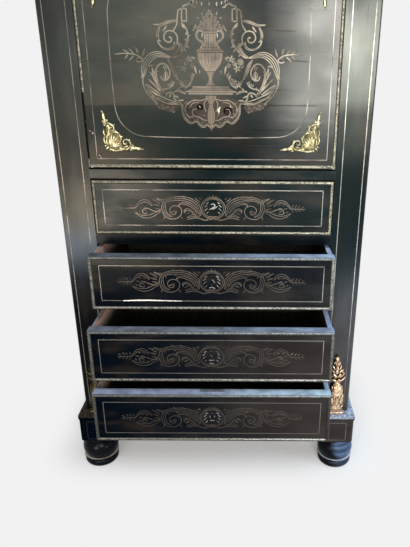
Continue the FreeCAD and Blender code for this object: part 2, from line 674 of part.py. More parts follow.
def corner_mounts():
    """Pierced-looking triangular corner pieces of the leaf, one in each corner."""
    leg = CORNER_MOUNT_LEG
    upper_half = [(0.02, 1.0), (0.16, 0.80), (0.13, 0.72), (0.33, 0.56), (0.32, 0.50), (0.42, 0.47)]
    lower_edge = [(0.04, 0.22), (0.0, 0.70)]
    half = [(a * leg, b * leg) for a, b in upper_half]
    inner = [(a * leg, b * leg) for a, b in lower_edge]
    outline = half + [(b, a) for a, b in reversed(half)] + [(b, a) for a, b in reversed(inner)] + inner
    left = half_leaf - CORNER_MOUNT_IN_X
    low = leaf_z + CORNER_MOUNT_IN_Z
    high = leaf_top - CORNER_MOUNT_IN_Z
    face = (-CORNER_MOUNT_T, 0)
    mounts = []
    for corner_z, up in ((low, 1), (high, -1)):
        placed = [(left - a, corner_z + up * b) for a, b in outline]
        mounts += both_sides(prism("y", placed, face))
    pieces["leaf_corner_mounts"] = mounts


def stile_mounts():
    """Gilt-bronze half vases with a leaf finial, standing on the plinth against the stiles."""
    x = half_carcass - STILE_MOUNT_IN
    half_base = STILE_MOUNT_BASE / 2
    base = board((x - half_base, x + half_base), (-half_base, 0), (carcass_z, carcass_z + STILE_MOUNT_BASE_H))
    dome_z = STILE_MOUNT_DRUM_H
    neck_z = dome_z + STILE_MOUNT_DOME_H
    flare_z = neck_z + STILE_MOUNT_FLARE_H
    tip_z = flare_z + STILE_MOUNT_BUD_H
    shoulder = (STILE_MOUNT_DRUM_R + STILE_MOUNT_NECK_R) / 2 + 2 * STILE_MOUNT_TIP_R
    profile = [
        (STILE_MOUNT_DRUM_R, 0),
        (STILE_MOUNT_DRUM_R, dome_z),
        (shoulder, (dome_z + neck_z) / 2, STILE_MOUNT_NECK_R, neck_z),
        (STILE_MOUNT_FLARE_R, flare_z),
        (STILE_MOUNT_BUD_R, flare_z + STILE_MOUNT_BUD_H / 3),
        (STILE_MOUNT_TIP_R, tip_z),
    ]
    vase_z = carcass_z + STILE_MOUNT_BASE_H
    reach = half_base + STILE_MOUNT_DRUM_R + STILE_MOUNT_FLARE_R
    front = board((x - reach, x + reach), (-reach, 0), (vase_z, vase_z + tip_z))
    vase = turned(profile, x, 0, vase_z)
    mount = base.fuse(vase.common(front)).removeSplitter()
    pieces["stile_mounts"] = both_sides(mount)


carcass()
cornice_and_top()
plinth_and_feet()
compartment()
leaf()
corner_mounts()
stile_mounts()
for drawer_name, drawer_pull in DRAWER_PULLS.items():
    drawer(drawer_name, opening_z[drawer_name], DRAWER_OPENING_H, drawer_pull)
drawer("frieze_drawer", frieze_z, FRIEZE_OPENING_H, 0.0)

os.makedirs("parts", exist_ok=True)
solid_count = 0
for node_name, node_shapes in pieces.items():
    node_solids = [solid for shape in node_shapes for solid in shape.Solids]
    node = Part.makeCompound(node_solids) if len(node_solids) > 1 else node_solids[0].copy()
    node.translate(origin_shift)
    node.exportStep(os.path.join("parts", node_name + ".step"))
    solid_count += len(node_solids)
print(len(pieces), "nodes,", solid_count, "solids")
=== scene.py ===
# %% [markdown]
# # A drop-front secretary in black polish, brass and gilt bronze
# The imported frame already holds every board, bead, lock and foot in its place, and it moves. This
# lesson dresses it: camera and light first, then the finishes, then the inlay, the mounts and the wear.

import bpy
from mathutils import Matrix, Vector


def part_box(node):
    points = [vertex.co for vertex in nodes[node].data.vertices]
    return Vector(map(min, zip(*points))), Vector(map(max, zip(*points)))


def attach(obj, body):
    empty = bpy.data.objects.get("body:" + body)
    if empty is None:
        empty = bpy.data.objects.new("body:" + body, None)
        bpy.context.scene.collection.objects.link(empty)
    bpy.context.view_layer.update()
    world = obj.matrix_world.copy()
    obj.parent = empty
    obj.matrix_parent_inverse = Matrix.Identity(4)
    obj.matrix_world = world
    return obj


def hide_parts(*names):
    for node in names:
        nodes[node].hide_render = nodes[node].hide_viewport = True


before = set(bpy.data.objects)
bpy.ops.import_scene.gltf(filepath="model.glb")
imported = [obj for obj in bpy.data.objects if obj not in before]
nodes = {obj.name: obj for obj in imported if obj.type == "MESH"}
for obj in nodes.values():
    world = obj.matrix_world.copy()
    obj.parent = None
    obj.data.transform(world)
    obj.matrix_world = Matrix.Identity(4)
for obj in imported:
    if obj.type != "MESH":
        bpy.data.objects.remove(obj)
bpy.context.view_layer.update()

import math

import bmesh
import bpy
from mathutils import Matrix, Vector

MM = 0.001

# %% [markdown]
# ## Camera
# The picture was taken by someone standing in front of the desk, a little to the right of its middle,
# and looking down at it. The place and the lens were fitted to edges in the picture: the carcass, the
# leaf and the drawer fronts. The lens axis is not in the middle of the picture, so a shift moves it.

# %% Camera
IMAGE_W = 410
IMAGE_H = 547
CAMERA_PLACE = (0.0789, -1.2284, 0.9472)
CAMERA_DOWN = 21.883
CAMERA_RIGHT = 0.199
CAMERA_TILT = 0.429
FOCAL_PX = 539.467
AXIS_PX = (251.356, 281.724)
SENSOR_W = 36.0
NEAR = 0.05

lens = bpy.data.cameras.new("camera")
lens.sensor_width = SENSOR_W
lens.lens = FOCAL_PX * SENSOR_W / IMAGE_H
lens.shift_x = (IMAGE_W / 2 - AXIS_PX[0]) / IMAGE_H
lens.shift_y = (AXIS_PX[1] - IMAGE_H / 2) / IMAGE_H
lens.clip_start = NEAR
camera = bpy.data.objects.new("camera", lens)
bpy.context.scene.collection.objects.link(camera)
aim = Matrix.Rotation(math.radians(-CAMERA_RIGHT), 4, "Z")
aim = aim @ Matrix.Rotation(math.radians(90 - CAMERA_DOWN), 4, "X")
aim = aim @ Matrix.Rotation(math.radians(CAMERA_TILT), 4, "Z")
camera.matrix_world = Matrix.Translation(CAMERA_PLACE) @ aim
bpy.context.scene.camera = camera
bpy.context.scene.view_settings.view_transform = "Standard"
print("camera: lens", round(lens.lens, 2), "mm")

# %% [markdown]
# ## Small helpers for node trees
# A finish is a graph of nodes. Written out link by link it is long, so a few helpers add a node, set or
# link its inputs, and give back the output that is wanted next.

# %% Node helpers
def add(tree, kind, values=None, **settings):
    """Add a node. A value that is a socket is linked to the input, and any other is set on it."""
    made = tree.nodes.new(kind)
    for key, value in settings.items():
        setattr(made, key, value)
    for key, value in (values or {}).items():
        plug(tree, made.inputs[key], value)
    return made


def plug(tree, socket, value):
    if isinstance(value, bpy.types.NodeSocket):
        tree.links.new(value, socket)
    else:
        socket.default_value = value


def calc(tree, operation, a, b=0.0):
    return add(tree, "ShaderNodeMath", {0: a, 1: b}, operation=operation).outputs[0]


def times(tree, *values):
    """All the values multiplied."""
    product = values[0]
    for value in values[1:]:
        product = calc(tree, "MULTIPLY", product, value)
    return product


def plus(tree, a, b):
    return calc(tree, "ADD", a, b)


def minus(tree, a, b):
    return calc(tree, "SUBTRACT", a, b)


def apart(tree, a, b):
    """How far two values are from each other."""
    return calc(tree, "ABSOLUTE", minus(tree, a, b))


def between(tree, share, a, b):
    """A value that goes from a to b as the share goes from 0 to 1."""
    return plus(tree, a, times(tree, share, minus(tree, b, a)))


def vector_calc(tree, operation, a, b=(0.0, 0.0, 0.0)):
    return add(tree, "ShaderNodeVectorMath", {0: a, 1: b}, operation=operation).outputs


def axes_of(tree, vector):
    """The X, Y and Z of a place or a direction."""
    return add(tree, "ShaderNodeSeparateXYZ", {0: vector}).outputs


def outward(tree):
    """The direction that a face looks in."""
    return add(tree, "ShaderNodeNewGeometry").outputs["Normal"]


def span(tree, value, low, high, start=0.0, end=1.0):
    """Value from low to high becomes start to end, with a soft step and no overshoot."""
    limits = {"Value": value, "From Min": low, "From Max": high, "To Min": start, "To Max": end}
    return add(tree, "ShaderNodeMapRange", limits, interpolation_type="SMOOTHSTEP").outputs[0]


def mixed(tree, factor, a, b):
    """Colour a turning into colour b."""
    return add(tree, "ShaderNodeMix", {0: factor, 6: a, 7: b}, data_type="RGBA").outputs[2]


def darker(colour, share):
    return tuple(share * part for part in colour[:3]) + (1,)


def cloud(tree, place, scale, detail=4.0, stretch=None):
    """Noise of so many blots a metre, drawn out along an axis by stretch."""
    if stretch:
        place = add(tree, "ShaderNodeMapping", {"Vector": place, "Scale": stretch}).outputs[0]
    return add(tree, "ShaderNodeTexNoise", {"Vector": place, "Scale": scale, "Detail": detail}).outputs[0]


# %% Finish helpers
def new_finish(name, metallic=0.0, gloss=0.5):
    material = bpy.data.materials.new(name)
    material.use_nodes = True
    tree = material.node_tree
    shader = tree.nodes["Principled BSDF"]
    shader.inputs["Metallic"].default_value = metallic
    shader.inputs["Specular IOR Level"].default_value = gloss
    return material, tree, shader, add(tree, "ShaderNodeTexCoord").outputs["Object"]


def coat(tree, shader, colour, roughness, bump=None):
    """Give a shader its colour and roughness, and a bump of some strength, distance and height."""
    plug(tree, shader.inputs["Base Color"], colour)
    plug(tree, shader.inputs["Roughness"], roughness)
    if bump:
        strength, distance, height = bump
        bumped = {"Strength": strength, "Distance": distance, "Height": height}
        plug(tree, shader.inputs["Normal"], add(tree, "ShaderNodeBump", bumped).outputs[0])


def blotted(name, gloss, scale, limits, tones, roughness):
    """A dull finish of two tones in blots."""
    material, tree, shader, place = new_finish(name, gloss=gloss)
    blots = span(tree, cloud(tree, place, scale), *limits)
    coat(tree, shader, mixed(tree, blots, *tones), roughness)
    return material


def seen_ray(tree):
    """1 for a ray from the camera, from a mirror-like surface or through glass."""
    path = add(tree, "ShaderNodeLightPath")
    seen = calc(tree, "MAXIMUM", path.outputs["Is Camera Ray"], path.outputs["Is Glossy Ray"])
    return calc(tree, "MAXIMUM", seen, path.outputs["Is Transmission Ray"])


# %% [markdown]
# ## Floor, background and light
# The desk stands on pale paper that runs into a pale background. The floor is lit like any other
# surface, but what the camera sees of it is mostly its own even colour, so the shadow stays soft. Black
# polish shows the room as a mirror does, so the light comes from large soft panels: in front three
# beside each other that grow brighter to the right, and three low ones, then a blue one on the right
# and a cool one overhead.

# %% Floor and background
PALE = (0.886, 0.886, 0.886, 1.0)
FLOOR_REACH = 7.0
SHADOW_HALF = (0.32, 0.18, 0.0)
SHADOW_MIDDLE = (0.0, 0.12, 0.0)
SHADOW_REACH = 0.15
SHADOW_DEPTH = 0.80
PAPER_TONES = ((0.84, 0.84, 0.84, 1), (0.88, 0.88, 0.88, 1))
ROOM_TINT = (0.92, 0.96, 1.0, 1.0)
ROOM_STRENGTH = 0.35

world = bpy.data.worlds.new("studio")
world.use_nodes = True
bpy.context.scene.world = world
sky = world.node_tree
room = sky.nodes["Background"]
room.inputs["Color"].default_value = ROOM_TINT
room.inputs["Strength"].default_value = ROOM_STRENGTH
backdrop = add(sky, "ShaderNodeBackground", {"Color": PALE, "Strength": 1.0})
choice = add(sky, "ShaderNodeMixShader", {0: seen_ray(sky), 1: room.outputs[0], 2: backdrop.outputs[0]})
sky.links.new(choice.outputs[0], sky.nodes["World Output"].inputs["Surface"])

paper, tree, shader, place = new_finish("pale_paper", gloss=0.1)
fibres = cloud(tree, place, 60.0)
coat(tree, shader, mixed(tree, fibres, *PAPER_TONES), 0.9)
off = vector_calc(tree, "SUBTRACT", place, SHADOW_MIDDLE)[0]
off = vector_calc(tree, "ABSOLUTE", off)[0]
off = vector_calc(tree, "SUBTRACT", off, SHADOW_HALF)[0]
off = vector_calc(tree, "MAXIMUM", off)[0]
distance = vector_calc(tree, "LENGTH", off)["Value"]
evenness = span(tree, distance, 0.0, SHADOW_REACH, 1.0 - SHADOW_DEPTH, 1.0)
glow = add(tree, "ShaderNodeEmission", {"Color": PALE, "Strength": 1.0})
even_share = times(tree, seen_ray(tree), evenness)
seen_floor = add(tree, "ShaderNodeMixShader", {0: even_share, 1: shader.outputs[0], 2: glow.outputs[0]})
tree.links.new(seen_floor.outputs[0], tree.nodes["Material Output"].inputs["Surface"])

floor_mesh = bpy.data.meshes.new("floor")
corners = [(-FLOOR_REACH, -FLOOR_REACH, 0), (FLOOR_REACH, -FLOOR_REACH, 0)]
corners += [(FLOOR_REACH, FLOOR_REACH, 0), (-FLOOR_REACH, FLOOR_REACH, 0)]
floor_mesh.from_pydata(corners, [], [(0, 1, 2, 3)])
floor_mesh.materials.append(paper)
floor = bpy.data.objects.new("floor", floor_mesh)
bpy.context.scene.collection.objects.link(floor)
print("floor:", 2 * FLOOR_REACH, "m square")

# %% Soft panels
PANEL_Y = -2.6
PANEL_Z = 1.1
PANEL_H = 0.8
LOW_PANEL_Y = -1.9
WATTS = 4.0
PLAIN_LIGHT = (1.0, 0.96, 0.90)
WARM_LIGHT = (1.0, 0.82, 0.68)
COOL_LIGHT = (0.80, 0.90, 1.0)
BLUE_LIGHT = (0.60, 0.78, 1.0)
PANELS = (
    ("panel_left", (-0.85, PANEL_Y, PANEL_Z), (0.8, PANEL_H), 3.5, PLAIN_LIGHT),
    ("panel_middle", (-0.1, PANEL_Y, PANEL_Z), (0.7, PANEL_H), 5.2, PLAIN_LIGHT),
    ("panel_right", (0.62, PANEL_Y, 1.05), (0.75, 0.90), 14.5, PLAIN_LIGHT),
    ("panel_low", (-0.85, LOW_PANEL_Y, 0.21), (0.7, 0.38), 19.0, WARM_LIGHT),
    ("panel_low_middle", (-0.3, LOW_PANEL_Y, 0.25), (0.4, 0.2), 3.0, WARM_LIGHT),
    ("panel_low_right", (0.62, -0.95, 0.09), (0.36, 0.16), 12.0, COOL_LIGHT),
    ("panel_blue", (1.0, -0.32, 0.45), (0.6, 0.6), 3.0, BLUE_LIGHT, (0.3, -0.1, 0.06)),
    ("panel_over", (0.3, -0.9, 2.6), (1.6, 1.2), 3.2, COOL_LIGHT, (0.0, 0.0, 0.6)),
)


def soft_panel(name, centre, size, brightness, tint, facing=None):
    """A rectangular soft light at a place. It faces a point, or straight back."""
    light = bpy.data.lights.new(name, "AREA")
    light.shape = "RECTANGLE"
    light.size, light.size_y = size
    light.energy = WATTS * brightness * size[0] * size[1]
    light.color = tint
    panel = bpy.data.objects.new(name, light)
    panel.location = centre
    aim = Vector(facing or (centre[0], 0.0, centre[2])) - Vector(centre)
    panel.rotation_euler = aim.to_track_quat("-Z", "Y").to_euler()
    panel.visible_camera = False
    bpy.context.scene.collection.objects.link(panel)


for row in PANELS:
    soft_panel(*row)
print("light:", len(PANELS), "soft panels")

# %% [markdown]
# ## Black polish
# The wood is taken for pearwood veneer, stained black and polished. It is not one flat black: the grain
# shows in the gloss, the polish has gone hazy in clouds, old veneer ripples, and edges are rubbed through
# to brown. What faces up is dusty on the left and has a pale blue painted highlight towards the right.
# The gloss and the tint of the reflections are set by place, as a painted reflection, and the round foot
# on the right has a painted blue sky reflection. The grain runs along the length of each board, so level
# and upright boards have their own finishes, and so have the leaf, the cap of the plinth and the feet. A
# bevel node finds the edges, because the frame's meshes have none marked.

# %% Masks for wear, dusty tops, painted highlights and a painted reflection
EVEN_PATCHES = (35.0, 0.25, 0.7, 0.45)
RUB_RADIUS = 0.0014
RUB_SCALE = 24.0
SKY_SIDE = (0.65, -0.65, 0.39)
SKY_RINGS = (9.0, 9.0, 170.0)


def edge_mask(tree, place):
    """1 along edges, broken up by noise."""
    rounded = add(tree, "ShaderNodeBevel", {"Radius": RUB_RADIUS}, samples=4).outputs[0]
    turned = vector_calc(tree, "DOT_PRODUCT", rounded, outward(tree))["Value"]
    broken = span(tree, cloud(tree, place, RUB_SCALE), 0.52, 0.66)
    return times(tree, span(tree, turned, 0.999, 0.88), broken)


def dust_and_highlight_mask(tree, place, kind=EVEN_PATCHES):
    """1 on faces that look up, thinner in patches: where they are dusty, and where a highlight is
    painted. The kind is the patches' scale, limits and least share.
    """
    scale, thin, thick, least = kind
    up = axes_of(tree, outward(tree))["Z"]
    patches = span(tree, cloud(tree, place, scale), thin, thick, least, 1.0)
    return times(tree, span(tree, up, 0.75, 0.98), patches)


def sky_reflection_mask(tree, place, axes):
    """Where a painted sky reflection goes: 1 in rings round a foot, where it faces right and up, and only
    in front on the right.
    """
    towards = vector_calc(tree, "DOT_PRODUCT", outward(tree), SKY_SIDE)["Value"]
    rings = cloud(tree, place, 1.0, 2.0, SKY_RINGS)
    on_right = span(tree, axes["X"], 0.15, 0.26)
    in_front = span(tree, axes["Y"], 0.0, -0.05)
    above = span(tree, axes["Z"], 0.018, 0.026, 0.3, 1.0)
    ringed = span(tree, rings, 0.32, 0.62, 0.35, 1.0)
    return times(tree, span(tree, towards, 0.42, 0.75), on_right, in_front, above, ringed)


# %% Shine by place
# The gloss is set by place, high where the room's reflections fall and low where they don't: a painted
# reflection.
SHINE_REACH = 0.30
BAND_TOP = 1.4


def ramped(tree, where, stops):
    """A value that follows stops of a place from 0 to 1 and a value."""
    ramp = add(tree, "ShaderNodeValToRGB", {0: where})
    points = ramp.color_ramp.elements
    while len(points) < len(stops):
        points.new(0.5)
    for point, (spot, value) in zip(points, stops):
        point.position = spot
        point.color = (value, value, value, 1)
    return ramp.outputs[0]


def even_steps(values):
    """Stops for a ramp, at even steps from 0 to 1."""
    return [(index / (len(values) - 1), value) for index, value in enumerate(values)]


def sloped_shine(dull_below, shiny_above, low, high):
    """Shine that goes from low to high with height, as a painted reflection. Each lists values at even
    steps from left to right.
    """
    def shine(tree, axes):
        across = span(tree, axes["X"], -SHINE_REACH, SHINE_REACH)
        below = ramped(tree, across, even_steps(low))
        above = ramped(tree, across, even_steps(high))
        return between(tree, span(tree, axes["Z"], dull_below, shiny_above), below, above)
    return shine


def banded_shine(stops):
    """Shine that changes along an upright board as a painted reflection, as pairs of a height and a shine.
    """
    def shine(tree, axes):
        up = calc(tree, "DIVIDE", axes["Z"], BAND_TOP)
        return ramped(tree, up, [(z / BAND_TOP, value) for z, value in stops])
    return shine


# %% Black polish
POLISH_BROWN = (0.0085, 0.0070, 0.0060, 1)
FADED_BROWN = (0.0135, 0.0092, 0.0086, 1)
RUBBED_BROWN = (0.045, 0.028, 0.019, 1)
CRACK_BLACK = (0.002, 0.002, 0.002, 1)
# Faces that look up are grey and dusty on the left and turn pale blue towards the right, a painted
# highlight. High up they are only faintly dusty.
DUST_AND_BLUE_HIGHLIGHT = ((0.13, 0.15, 0.18, 1), (0.46, 0.60, 0.86, 1))
HIGH_DUST = (0.022, 0.024, 0.022, 1)
DUST_TO_HIGHLIGHT_X = (-0.1, 0.28)
HIGH_DUST_Z = (0.60, 0.66)
LEAF_TURN_Z = (0.57, 0.66)
LEAF_TURN_X = (-0.1, 0.15)
FADED_X = (-0.1, 0.25)
FADED_Z = (0.55, 0.35)
POLISH_ROUGH = (0.17, 0.33)
PORE_ROUGH = 0.08
DUST_ROUGH = 0.62
PORE_HEIGHT = 0.12
POLISH_BUMP = (0.22, 0.0012)


def black_polish(
        name, look, tints, grounds, shine_of, hairlines=None,
        dust_and_highlight=DUST_AND_BLUE_HIGHLIGHT, top_patches=EVEN_PATCHES, sky=None, rubbed=RUBBED_BROWN):
    """Black polish. The look draws out its grain, ripple and clouds along a board. Grounds are low and
    high. Tints are low and high too, or left and right on a board with hairlines. What faces up is dusty
    towards the left and takes a painted highlight towards the right, and a sky colour paints a sky
    reflection on a foot."""
    material, tree, shader, place = new_finish(name)
    axes = axes_of(tree, place)
    grain, ripple, smoke, depth = look
    pores = cloud(tree, place, 1.0, 6.0, grain)
    haze = cloud(tree, place, 5.0, 5.0)
    clouds = span(tree, cloud(tree, place, 1.0, 4.0, smoke), 0.36, 0.64, 1.0 - depth, 1.0 + depth)
    plug(tree, shader.inputs["Specular IOR Level"], times(tree, shine_of(tree, axes), clouds))
    rise = span(tree, axes["Z"], *LEAF_TURN_Z)
    shader.inputs["Specular Tint"].default_value = tints[1]
    if tints[0] != tints[1]:
        share = span(tree, axes["X"], *LEAF_TURN_X) if hairlines else rise
        plug(tree, shader.inputs["Specular Tint"], mixed(tree, share, *tints))
    colour = mixed(tree, rise, *grounds)
    if not sky:
        stain = span(tree, cloud(tree, place, 1.0, 3.0, smoke), 0.46, 0.70)
        low_right = times(tree, span(tree, axes["X"], *FADED_X), span(tree, axes["Z"], *FADED_Z))
        colour = mixed(tree, low_right, mixed(tree, stain, colour, POLISH_BROWN), FADED_BROWN)
    colour = mixed(tree, edge_mask(tree, place), colour, rubbed)
    # A painted blue sky reflection on the round foot on the right.
    if sky:
        colour = mixed(tree, sky_reflection_mask(tree, place, axes), colour, sky)
    # Faces that look up: dusty, with a pale blue painted highlight towards the right.
    top_share = dust_and_highlight_mask(tree, place, top_patches)
    top_colour = mixed(tree, span(tree, axes["X"], *DUST_TO_HIGHLIGHT_X), *dust_and_highlight)
    top_colour = mixed(tree, span(tree, axes["Z"], *HIGH_DUST_Z), top_colour, HIGH_DUST)
    colour = mixed(tree, top_share, colour, top_colour)
    roughness = span(tree, haze, 0.3, 0.75, *POLISH_ROUGH)
    roughness = plus(tree, roughness, span(tree, pores, 0.55, 0.8, 0.0, PORE_ROUGH))
    roughness = calc(tree, "MAXIMUM", roughness, times(tree, top_share, DUST_ROUGH))
    height = plus(tree, times(tree, pores, PORE_HEIGHT), cloud(tree, place, 1.0, 2.0, ripple))
    if hairlines:
        crack = hairlines(tree, place)
        colour = mixed(tree, crack, colour, CRACK_BLACK)
        height = minus(tree, height, crack)
    coat(tree, shader, colour, roughness, (*POLISH_BUMP, height))
    return material


# %% Cracks and shine of the leaf
LEAF_LOW, LEAF_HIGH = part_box("leaf_panel")
SPLIT_UP = 0.1232
SPLIT_Z = LEAF_LOW[2] + SPLIT_UP
SPLIT_SOFT = 0.001
SPLIT_WANDER = 0.003
SPLIT_WIDTH = (0.0011, 0.0005)
SPLIT_REACH = (0.212, 0.205)
HAIRLINES_A_METRE = 38.0
HAIRLINE_WANDER = 0.012
HAIRLINE_SHARE = 0.8
LEAF_SHINE_Z = (0.75, 0.90)
LEAF_SHINE_LOW = (0.34, 0.315, 0.29, 0.215, 0.14, 0.095, 0.05, 0.06, 0.07, 0.16, 0.31, 0.33, 0.34)
LEAF_SHINE_HIGH = (0.25, 0.28, 0.32, 0.33, 0.34, 0.345, 0.35, 0.25, 0.13, 0.12, 0.28, 0.48, 0.52)
DULL_X = (-0.05, 0.12)
DULL_SHARE = 0.4
CORNER_X = (0.11, 0.24)
CORNER_Z = (0.97, 1.08)
CORNER_SHINE = 0.7


def leaf_hairlines(tree, place):
    """Level shrinkage cracks in the leaf's veneer, and one long split across it."""
    axes = axes_of(tree, place)
    wander = cloud(tree, place, 1.0, 3.0, (6.0, 0.0, 14.0))
    bent = plus(tree, axes["Z"], times(tree, wander, HAIRLINE_WANDER))
    lines = calc(tree, "FRACT", times(tree, bent, HAIRLINES_A_METRE))
    thin = span(tree, apart(tree, lines, 0.5), 0.035, 0.012)
    broken = span(tree, cloud(tree, place, 1.0, 2.0, (5.0, 0.0, 30.0)), 0.56, 0.64)
    split = apart(tree, axes["Z"], plus(tree, times(tree, wander, SPLIT_WANDER), SPLIT_Z))
    reach = span(tree, calc(tree, "ABSOLUTE", axes["X"]), *SPLIT_REACH)
    split = times(tree, span(tree, split, *SPLIT_WIDTH), reach)
    return calc(tree, "MAXIMUM", split, times(tree, thin, broken, HAIRLINE_SHARE))


def leaf_shine(tree, axes):
    """Shine of the leaf, a painted reflection: duller under the split on the left, and brightest in the
    upper right corner.
    """
    even = sloped_shine(*LEAF_SHINE_Z, LEAF_SHINE_LOW, LEAF_SHINE_HIGH)(tree, axes)
    under = span(tree, axes["Z"], SPLIT_Z + SPLIT_SOFT, SPLIT_Z - SPLIT_SOFT)
    dull = times(tree, under, span(tree, axes["X"], *DULL_X, DULL_SHARE, 0.0))
    corner = times(tree, span(tree, axes["Z"], *CORNER_Z), span(tree, axes["X"], *CORNER_X))
    share = plus(tree, minus(tree, 1.0, dull), times(tree, corner, CORNER_SHINE))
    return times(tree, even, share)


# %% Polish of each board
POLISH_BLACK = (0.0022, 0.0030, 0.0042, 1)
POLISH_BLUE = (0.0008, 0.0019, 0.0040, 1)
POLISH_TEAL = (0.0016, 0.0060, 0.0070, 1)
# On the cap, the rubbed edges are pale grey: wear, and a painted highlight along them.
RUBBED_GREY_HIGHLIGHT = (0.20, 0.205, 0.21, 1)
# What faces up on the cap is dark and dusty on the left and takes a pale blue painted highlight on the
# right, in speckles.
CAP_DUST_AND_HIGHLIGHT = ((0.070, 0.060, 0.042, 1), (0.52, 0.63, 0.82, 1))
SPECKLED_PATCHES = (330.0, 0.36, 0.62, 0.15)
# On the feet, what faces up is pale: a painted highlight along the rings.
FOOT_RING_HIGHLIGHT = ((0.58, 0.52, 0.44, 1), (0.70, 0.68, 0.80, 1))
# The round foot on the right gets a blue painted sky reflection.
SKY_REFLECTION_BLUE = (0.058, 0.09, 0.16, 1)
LEVEL = ((7.0, 60.0, 260.0), (2.0, 9.0, 26.0), (9.0, 9.0, 24.0), 0.35)
STANDING = ((260.0, 60.0, 7.0), (26.0, 9.0, 2.0), (24.0, 9.0, 8.0), 0.12)
LEAF_FACE = ((7.0, 60.0, 260.0), (1.6, 9.0, 34.0), (7.0, 9.0, 15.0), 0.16)
ROUND = ((7.0, 60.0, 260.0), (9.0, 9.0, 26.0), (9.0, 9.0, 24.0), 0.1)
LEFT_BANDS = (
    (0.0, 0.02), (0.44, 0.02), (0.50, 0.10), (0.55, 0.36), (0.60, 0.42), (0.66, 0.32), (0.73, 0.17),
    (0.80, 0.23), (0.90, 0.30), (1.05, 0.22),
)
RIGHT_BANDS = (
    (0.0, 1.0), (0.30, 1.0), (0.36, 0.56), (0.42, 0.25), (0.46, 0.17), (0.50, 0.19), (0.62, 0.20),
    (0.75, 0.19), (0.80, 0.30), (0.855, 0.18), (0.885, 0.42), (0.92, 0.50), (0.98, 0.68), (1.08, 0.50),
)
# Specular tints colour those reflections by place, bluish low on the left stile: painted reflection
# colours.
NEUTRAL = ((0.72, 0.77, 0.74, 1), (0.72, 0.77, 0.74, 1))
LEFT_TINTS = ((0.56, 0.76, 1.0, 1), (0.70, 0.75, 0.68, 1))
RIGHT_TINTS = ((0.72, 0.75, 0.78, 1), (0.70, 0.75, 0.68, 1))
LEAF_TINTS = ((0.79, 0.79, 0.65, 1), (0.75, 0.755, 0.725, 1))
FOOT_TINTS = ((0.80, 0.90, 1.0, 1), (0.80, 0.90, 1.0, 1))
level_shine = sloped_shine(0.44, 0.66, (0.0, 0.12, 0.25), (0.20, 0.06, 0.32))
cap_shine = sloped_shine(0.0, 0.2, (0.0, 0.12, 0.27), (0.0, 0.12, 0.27))
foot_shine = sloped_shine(0.0, 0.1, (0.06, 0.02, 0.06), (0.06, 0.02, 0.06))
level_polish = black_polish("level_polish", LEVEL, NEUTRAL, (POLISH_BLUE, POLISH_TEAL), level_shine)
cap_polish = black_polish(
    "cap_polish", LEVEL, NEUTRAL, (POLISH_BLUE, POLISH_BLUE), cap_shine, dust_and_highlight=CAP_DUST_AND_HIGHLIGHT,
    top_patches=SPECKLED_PATCHES, rubbed=RUBBED_GREY_HIGHLIGHT)
left_polish = black_polish(
    "left_polish", STANDING, LEFT_TINTS, (POLISH_BLACK, POLISH_BLACK), banded_shine(LEFT_BANDS))
right_polish = black_polish(
    "right_polish", STANDING, RIGHT_TINTS, (POLISH_TEAL, POLISH_TEAL), banded_shine(RIGHT_BANDS))
leaf_polish = black_polish(
    "leaf_polish", LEAF_FACE, LEAF_TINTS, (POLISH_TEAL, POLISH_TEAL), leaf_shine, leaf_hairlines)
foot_polish = black_polish(
    "foot_polish", ROUND, FOOT_TINTS, (POLISH_BLACK, POLISH_BLACK), foot_shine, dust_and_highlight=FOOT_RING_HIGHLIGHT,
    sky=SKY_REFLECTION_BLUE)
print(
    "polish:", level_polish.name, left_polish.name, right_polish.name, leaf_polish.name, foot_polish.name)

# %% [markdown]
# ## Plain woods and leather
# Inside, the drawers are taken for oak gone brown with age, and it is darkened further as painted shade
# inside them. The compartment gets a rosewood veneer, which is a guess. Both are the same idea with other
# colours: long streaks of two tones, fine dark pores, grime, and rims that hands have rubbed. On the rims
# a painted highlight is added, pale blue to the right and grey at a left edge, and under them the inner
# face of a left side is pale as painted light. The writing leather, a guess too, is a dark green skin with
# a pebbled grain.

# %% Woods and leather
BOX_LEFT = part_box("drawer_2_box")[0][0]
GREY_EDGE_HIGHLIGHT = (0.30, 0.31, 0.36, 1)
LIT_OAK = (0.72, 0.47, 0.37, 1)
LIT_BAND_DOWN = (0.045, 0.006)
LEFT_SIDE_X = (-0.20, -0.22)
RIM_NEAR = (0.003, 0.002)
GREY_HIGHLIGHT_X = (BOX_LEFT + 0.0055, BOX_LEFT + 0.0035)


